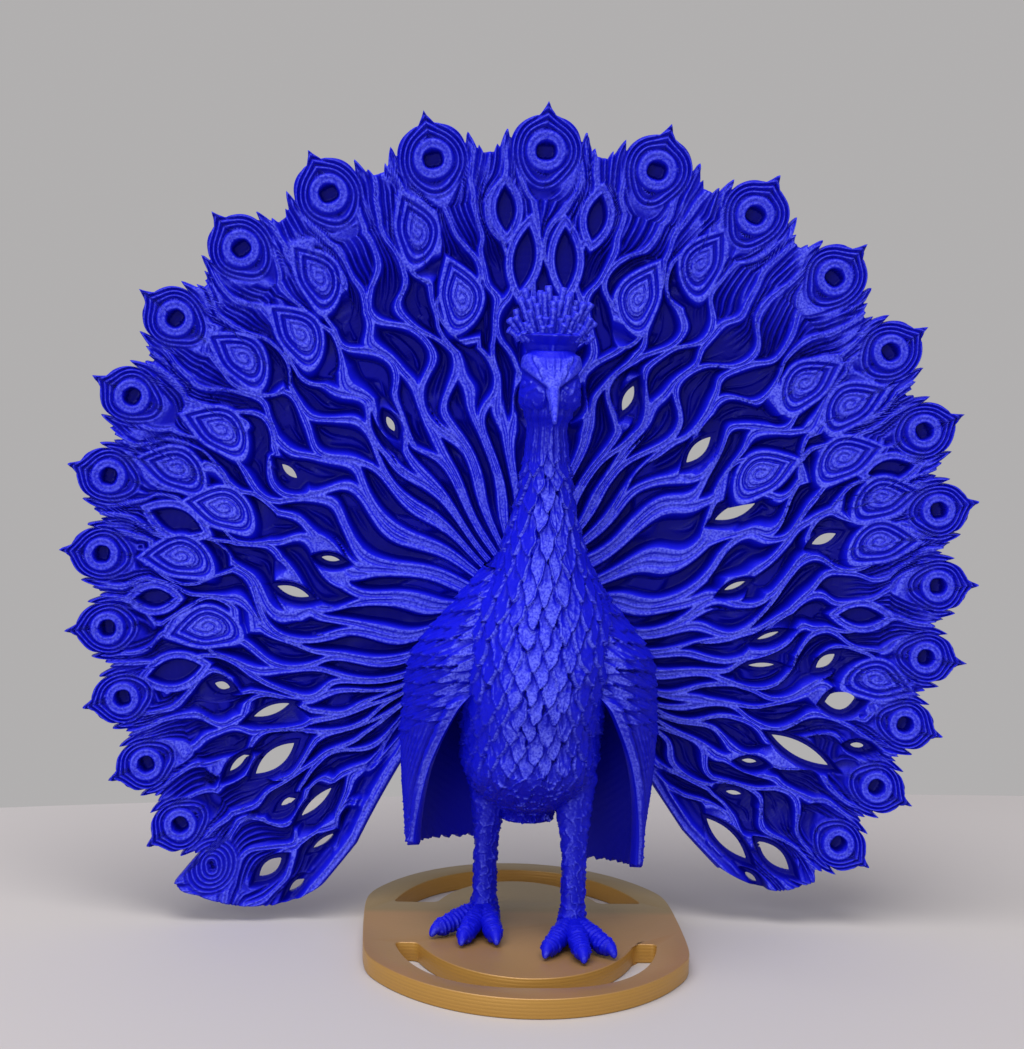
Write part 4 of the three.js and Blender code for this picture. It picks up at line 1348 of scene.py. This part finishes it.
def cup_place(x, y):
    turn = 2 * np.pi * x
    rim = np.interp(y, [0, 0.12, 0.45, 0.75, 0.88, 1], [0, 0.8, 0.95, 1.28, 1.16, 0])
    z = np.interp(y, [0, 0.12, 0.2, 0.75, 0.88, 1], [140.6, 140.6, 140.9, 144.8, 145.2, 143.8])
    ridge = 0.5 * np.exp(-((np.mod(turn + np.pi, 2 * np.pi) - np.pi) ** 2) / 0.008)
    pleats = 0.18 * np.sin(turn * 19) * smooth(0.4, 0.75, y)
    r = rim * (1 + 0.04 * pleats)
    lift = (ridge + pleats) * smooth(0.05, 0.2, y) * (1 - smooth(0.8, 0.95, y))
    across, forward = np.sin(turn) * (r * 6.4 + lift), np.cos(turn) * (r * 5.4 + lift)
    # Recess: painted highlight on the ridge and pleats, painted shade between them.
    return np.stack([HEAD_MIDDLE + across, -20.2 - forward, z], axis=1), 0.35 - 0.5 * lift


def rod(start, turn_degrees, lean_degrees, length, radius, twist):
    turn, lean = math.radians(turn_degrees), math.radians(lean_degrees)
    way = Vector((math.sin(turn), -math.cos(turn) * math.sin(lean), math.cos(turn) * math.cos(lean)))
    root = Vector(start)
    tip = root + way * length
    bend = Vector((0.4 * math.sin(twist), 0.25 * math.cos(twist * 1.7), 0))
    line = [root, root.lerp(tip, 0.55) + bend, tip]

    def relief(p, share, angle):
        return 0.2 * smooth(0.82, 0.9, share) + 0.1 * np.sin(share * 34 + twist * 5)

    def thin(share):
        return radius * (1 - 0.12 * share)

    # pale=0.7 puts a painted highlight on each rod.
    return 8, 16, tube_along(line, thin, 0.85, relief, flat_end=True, pale=0.7)


crest_tubes = [(96, 30, cup_place)]
for count, half_row, spread, tier_y, lean, high, radius in CREST_TIERS:
    for k in range(count):
        across = 2 * k / (count - 1) - 1
        start = (HEAD_MIDDLE + half_row * across, tier_y + 2.2 * across**2, ROD_ROOT_Z)
        length = high - ROD_ROOT_Z + 1.3 * math.sin(k * 2.3 + count) - 0.8 * across**2
        crest_tubes.append(rod(start, spread * across, lean, length, radius, k * 1.9 + count))
blue_skin("crest_rods", crest_tubes, ("crest",))

# %% [markdown]
# ## Beak and eyes
# The beak is a bent cone with a sharp upper ridge that continues the brow's wedge, and a groove for
# the mouth. The eyes are small smooth beads half sunk in their lids.

# %% Beak and eyes
def beak_relief(p, share, angle):
    ridge = 0.5 * np.exp(-(((angle - np.pi / 2) / 0.75) ** 4)) * (1 - 0.5 * share)
    mouth = -0.28 * hump(np.sin(angle + 0.25), 0, 0.16)
    return ridge + mouth * smooth(0.1, 0.3, share) * (1 - smooth(0.7, 0.95, share))


def beak_radius(share):
    return 0.42 + 1.75 * (1 - share) ** 0.9


beak_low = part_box("beak")[0]
beak_tip = (beak_low.y / MM + 0.4, beak_low.z / MM + 0.6)
beak_side = [(-24.0, 133.2), (-28.6, 132.6), (-32.8, 130.4), beak_tip]
beak_line = [(HEAD_MIDDLE, y, z) for y, z in beak_side]
# pale=0.95 puts a strong painted highlight on the beak.
beak_tube = tube_along(beak_line, beak_radius, 1.0, beak_relief, pale=0.95)
blue_skin("beak_horn", [(40, 48, beak_tube)], ("beak",))

EYE_SUNK = 0.7 * MM
for side, name in ((-1, "left"), (1, "right")):
    low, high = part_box("eye_" + name)
    middle = (low + high) / 2
    at = Matrix.Translation((middle.x - side * EYE_SUNK, middle.y, middle.z - EYE_SUNK))
    radius = (high.z - low.z) / 2
    eye_bm = bmesh.new()
    bmesh.ops.create_uvsphere(eye_bm, u_segments=24, v_segments=16, radius=radius, matrix=at)
    eye_mesh = bpy.data.meshes.new("eye_bead_" + name)
    eye_bm.to_mesh(eye_mesh)
    eye_bm.free()
    set_depth_attribute(eye_mesh, np.full(len(eye_mesh.vertices), 0.25))
    finish_piece("eye_bead_" + name, eye_mesh, BLUE, ("eye_" + name,))
print("eye bead radius:", round(radius / MM, 2), "mm")

# %% [markdown]
# ## Legs, feet and claws
# Support material left the legs rough, with wandering ridges. The toes are thick and ringed, and
# end in blunt claws, which are pieces of their own.

# %% Legs and feet
HIP_Y = -7.0
FOOT_FLOOR = 5.0
CLAW_LONG = 2.2
TOES = [(-30, 16.5), (0, 18), (27, 16.5), (180, 7.5)]


def leg_relief(p, share, angle):
    return 0.42 * worms(p, 2.6, 31, 0.45) - 0.2 + 0.12 * np.sin(angle * 3 + 1)


def leg_radius(share):
    thigh = 2.6 * np.clip((share - 0.5) / 0.5, 0, 1) ** 1.2
    return 2.85 + thigh + 1.3 * np.clip(1 - share / 0.2, 0, 1) ** 1.3


def leg_tube(x, y):
    shank = [(x, y, 6.5), (x, y, 11), (x, y, 22)]
    knee, hip = (x * 0.98, y + (HIP_Y - y) * 0.16, 31), (x * 0.95, y + (HIP_Y - y) * 0.4, 43)
    return 64, 150, tube_along([*shank, knee, hip], leg_radius, 1, leg_relief)


def toe_radius(share):
    return 2.4 + 0.25 * np.sin(np.pi * share) - 0.35 * share


def claw_radius(share):
    return 0.35 + 1.45 * (1 - share) ** 0.6


def toe_relief(total):
    def relief(p, share, angle):
        rings = 0.17 * np.sin(2 * np.pi * share * total / 1.3) * smooth(-0.3, 0.5, np.sin(angle))
        return rings * smooth(0.1, 0.25, share) + 0.34 * worms(p, 2.2, 33, 0.4) - 0.12

    return relief


def foot_pieces(x, y, heading):
    """Tubes for the four toes and for their claws."""
    tubes, claws = [], []
    for turn_by, length in TOES:
        angle = math.radians(heading + turn_by)

        def steps(*places):
            return [(x + d * math.sin(angle), y - d * math.cos(angle), z) for d, z in places]

        reach = length - CLAW_LONG
        toe_end = (reach * 0.75, FOOT_FLOOR + 2.4), (reach, FOOT_FLOOR + 1.9)
        toe_line = steps((-0.6, 8.2), (reach * 0.35, 8.3), *toe_end)
        tubes.append((36, 60, tube_along(toe_line, toe_radius, 0.95, toe_relief(length))))
        claw_end = (reach + 1.3, FOOT_FLOOR + 1.7), (length + 0.3, FOOT_FLOOR + 0.4)
        claw_line = steps((reach - 1, FOOT_FLOOR + 2.3), *claw_end)
        claws.append((20, 16, tube_along(claw_line, claw_radius, 0.9)))
    return tubes, claws


for name, x, y, heading in (("left", -9.4, -1.5, -19), ("right", 10.6, -12, 4)):
    blue_skin(f"leg_skin_{name}", [leg_tube(x, y)], (f"leg_{name}",))
    toe_tubes, claw_tubes = foot_pieces(x, y, heading)
    blue_skin(f"foot_skin_{name}", toe_tubes, (f"foot_{name}",))
    blue_skin(f"claws_{name}", claw_tubes)

# %% [markdown]
# ## Tail root and the plain tail behind the train
# Behind the body a scaled boss carries the fan. On the fan's back lies a smaller fan of plain tail
# feathers, each a flat blade with a raised shaft.

# %% Tail root and plain tail
def root_place(x, y):
    turn = 2 * np.pi * x
    share, keep = cap_rows(y, 0.03)
    seam = 1 - smooth(2.9, 3.12, np.abs(turn - np.pi))
    lift = 0.7 * scale_relief((turn - np.pi) * 11 / 3.6, -share * 26 / 3.4, 3.2) * seam
    size = (9.2 + 4.4 * share + lift) * keep
    depth = root_low.y / MM + (root_high.y - root_low.y) / MM * share
    p = np.stack([HUB_X + np.sin(turn) * size, depth, HUB_Z + np.cos(turn) * size], axis=1)
    # Recess: painted highlight on raised scales, painted shade in their gaps.
    return p, 0.4 - 0.7 * lift


blue_skin("tail_root_skin", [(120, 70, root_place)], ("tail_root",))

tail_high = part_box("tail_fan")[1]
TAIL_COUNT, TAIL_TURN = 15, 11.5
TAIL_LENGTH = tail_high.z / MM - HUB_Z


def blade_radius(share):
    tip = 1.2 * np.clip((share - 0.85) / 0.15, 0, 1) ** 2
    return 1.2 + 3.0 * np.clip(share / 0.75, 0, 1) ** 1.2 - tip


def blade_relief(p, share, angle):
    face = np.abs(np.sin(angle))
    shaft = 0.9 * hump(np.cos(angle), 0, 0.12)
    barbs = 0.12 * np.sin(share * 90 + 8 * np.abs(np.cos(angle)))
    return shaft * face * 0.8 + barbs * face * 0.6


def tail_feather(number):
    """One blade; every second one lies a little deeper, so that neighbours overlap."""
    turn = math.radians((number - (TAIL_COUNT - 1) / 2) * TAIL_TURN)
    y = tail_high.y / MM - 0.7 - 0.12 * (number % 2)
    reaches = (4, 20, 36, TAIL_LENGTH - 0.5)
    line = [(HUB_X + math.sin(turn) * d, y, HUB_Z + math.cos(turn) * d) for d in reaches]
    return 24, 60, tube_along(line, blade_radius, 0.2, blade_relief)


blue_skin("tail_blades", [tail_feather(k) for k in range(TAIL_COUNT)], ("tail_fan",))

# %% [markdown]
# ## Gold plastic
# The base is a satin gold filament, printed flat, so its layers are stacked upwards and show as
# level lines on the edge. They are drawn four layers apart, because finer lines would shimmer. The
# upper face is painted browner than the edge, and a little greener and darker behind the legs: both
# are painted reflections of the room in the satin gold. All this comes from one material, keyed on
# how squarely the surface faces up and on how far back it lies.

# %% Material: gold plastic
def make_gold():
    look, tree, plastic, place, facing = new_plastic("gold_plastic")
    plastic.inputs["Metallic"].default_value = 0.25
    plastic.inputs["Specular IOR Level"].default_value = 0.5
    plastic.inputs["Roughness"].default_value = 0.42
    mottle = add_node(tree, "TexNoise", {"Vector": place, "Scale": 40}).outputs["Fac"]
    grain = add_node(tree, "TexNoise", {"Vector": place, "Scale": 1400}).outputs["Fac"]

    warm = mix_colours(tree, mottle, (0.27, 0.16, 0.06, 1), (0.38, 0.195, 0.075, 1))
    # Painted reflection: the upper face turns darker and greener behind the legs.
    behind = map_range(tree, axis_of(tree, place, "Y"), 7 * MM, 10 * MM, 0, 0.7)
    top = mix_colours(tree, behind, warm, (0.21, 0.155, 0.06, 1))
    # Painted reflection: surfaces that face up are browner than the yellow edge.
    upward = map_range(tree, axis_of(tree, facing, "Z"), 0.3, 0.95)
    colour = mix_colours(tree, upward, (0.47, 0.25, 0.05, 1), top)
    normal = print_bump(tree, axis_of(tree, place, "Z"), 0.8, 0.03, grain, 0.03)
    set_inputs(tree, plastic, {"Base Color": colour, "Normal": normal})
    return look


GOLD = make_gold()
print("material:", GOLD.name)

# %% [markdown]
# ## Base
# The base keeps the CAD plate's size: an oval cut by two flats, with a curved slot in front and one
# behind. Each outline is a circle of points carried to its curve by a formula. The plate between
# the outlines is filled, extruded to its thickness and bevelled, with rounder corners in the slots.

# %% Base outlines
base_low, base_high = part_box("base_plate")
BASE_WIDE, BASE_LONG = base_high.x / MM, base_high.y / MM
OVAL_WIDE = 41.4
FLAT_EASE = 3.4
# Each slot: front (-1) or behind (1), its outer curve's half axes and power, its inner ellipse's
# half axes, and how far from the middle its corners lie.
SLOTS = ((-1, (31.0, 44.0), 2.6, (27.2, 38.3), 14.5), (1, (32.6, 44.6), 2.1, (22.8, 34.6), 16.5))
SLOT_STEPS = 48


def oval_point(turn):
    """The base's outline: an oval whose sides ease into two flats."""
    x, y = OVAL_WIDE * math.sin(turn), BASE_LONG * math.cos(turn)
    flat = BASE_WIDE - FLAT_EASE
    over = max(abs(x) - flat, 0)
    return math.copysign(min(abs(x), flat + FLAT_EASE * math.tanh(over / FLAT_EASE)), x), y


def curve_rows(curve, power, corner, end):
    """Points along one curve of a slot, from corner to corner."""
    def half_width(y):
        return curve[0] * (1 - (y / curve[1]) ** power) ** (1 / power)

    rows = []
    for k in range(SLOT_STEPS + 1):
        turn = math.acos(corner / curve[1]) * (1 - 2 * k / SLOT_STEPS)
        y = curve[1] * math.cos(turn)
        rows.append((math.copysign(half_width(y), turn) if y < curve[1] else 0.0, end * y))
    reach = half_width(corner)
    rows[0], rows[-1] = (reach, end * corner), (-reach, end * corner)
    return rows


def slot_outline(end, outer, power, inner, corner):
    """Points round one slot: out along its outer curve and back along its inner one."""
    return curve_rows(outer, power, corner, end) + curve_rows(inner, 2, corner, end)[::-1]


def is_level(edge):
    return abs(edge.verts[0].co.z - edge.verts[1].co.z) < 1e-6


print("slot outlines:", [len(slot_outline(*slot)) for slot in SLOTS], "points")

# %% Base body
def add_outline(bm, points):
    ring = bmesh.ops.create_circle(bm, cap_ends=False, segments=len(points), radius=1)["verts"]
    for vert, point in zip(ring, points):
        vert.co.xy = point
    return ring


base_bm = bmesh.new()
ring = bmesh.ops.create_circle(base_bm, cap_ends=False, segments=200, radius=1)["verts"]
for vert in ring:
    vert.co.xy = oval_point(math.atan2(vert.co.x, vert.co.y))
corners = []
for slot in SLOTS:
    ring = add_outline(base_bm, slot_outline(*slot))
    corners += [ring[k] for k in (0, SLOT_STEPS, SLOT_STEPS + 1, -1)]
corners = [tuple(round(c, 3) for c in v.co.xy) for v in corners]
bmesh.ops.triangle_fill(base_bm, use_beauty=True, use_dissolve=True, edges=base_bm.edges[:])
for vert in base_bm.verts:
    vert.co = Vector((vert.co.x * MM, vert.co.y * MM, base_high.z))
lower = bmesh.ops.extrude_face_region(base_bm, geom=base_bm.faces[:])["geom"]
for vert in (v for v in lower if isinstance(v, bmesh.types.BMVert)):
    vert.co.z = base_low.z
bmesh.ops.recalc_face_normals(base_bm, faces=base_bm.faces)

upright = [e for e in base_bm.edges if abs(e.verts[0].co.z - e.verts[1].co.z) > MM]
upright = [e for e in upright if tuple(round(c / MM, 3) for c in e.verts[0].co.xy) in corners]
bevel = {"profile": 0.5, "material": -1, "affect": "EDGES"}
bmesh.ops.bevel(base_bm, geom=upright, offset=1.3 * MM, segments=6, **bevel)
rims = [e for e in base_bm.edges if is_level(e) and len(e.link_faces) == 2]
rims = [e for e in rims if e.calc_face_angle() > math.radians(60)]
bmesh.ops.bevel(base_bm, geom=rims, offset=0.4 * MM, segments=3, **bevel)
base_mesh = bpy.data.meshes.new("base_body")
base_bm.to_mesh(base_mesh)
base_bm.free()
finish_piece("base_body", base_mesh, GOLD, ("base_plate",))
base_mesh.set_sharp_from_angle(angle=math.radians(28))
print("base faces", len(base_mesh.polygons))
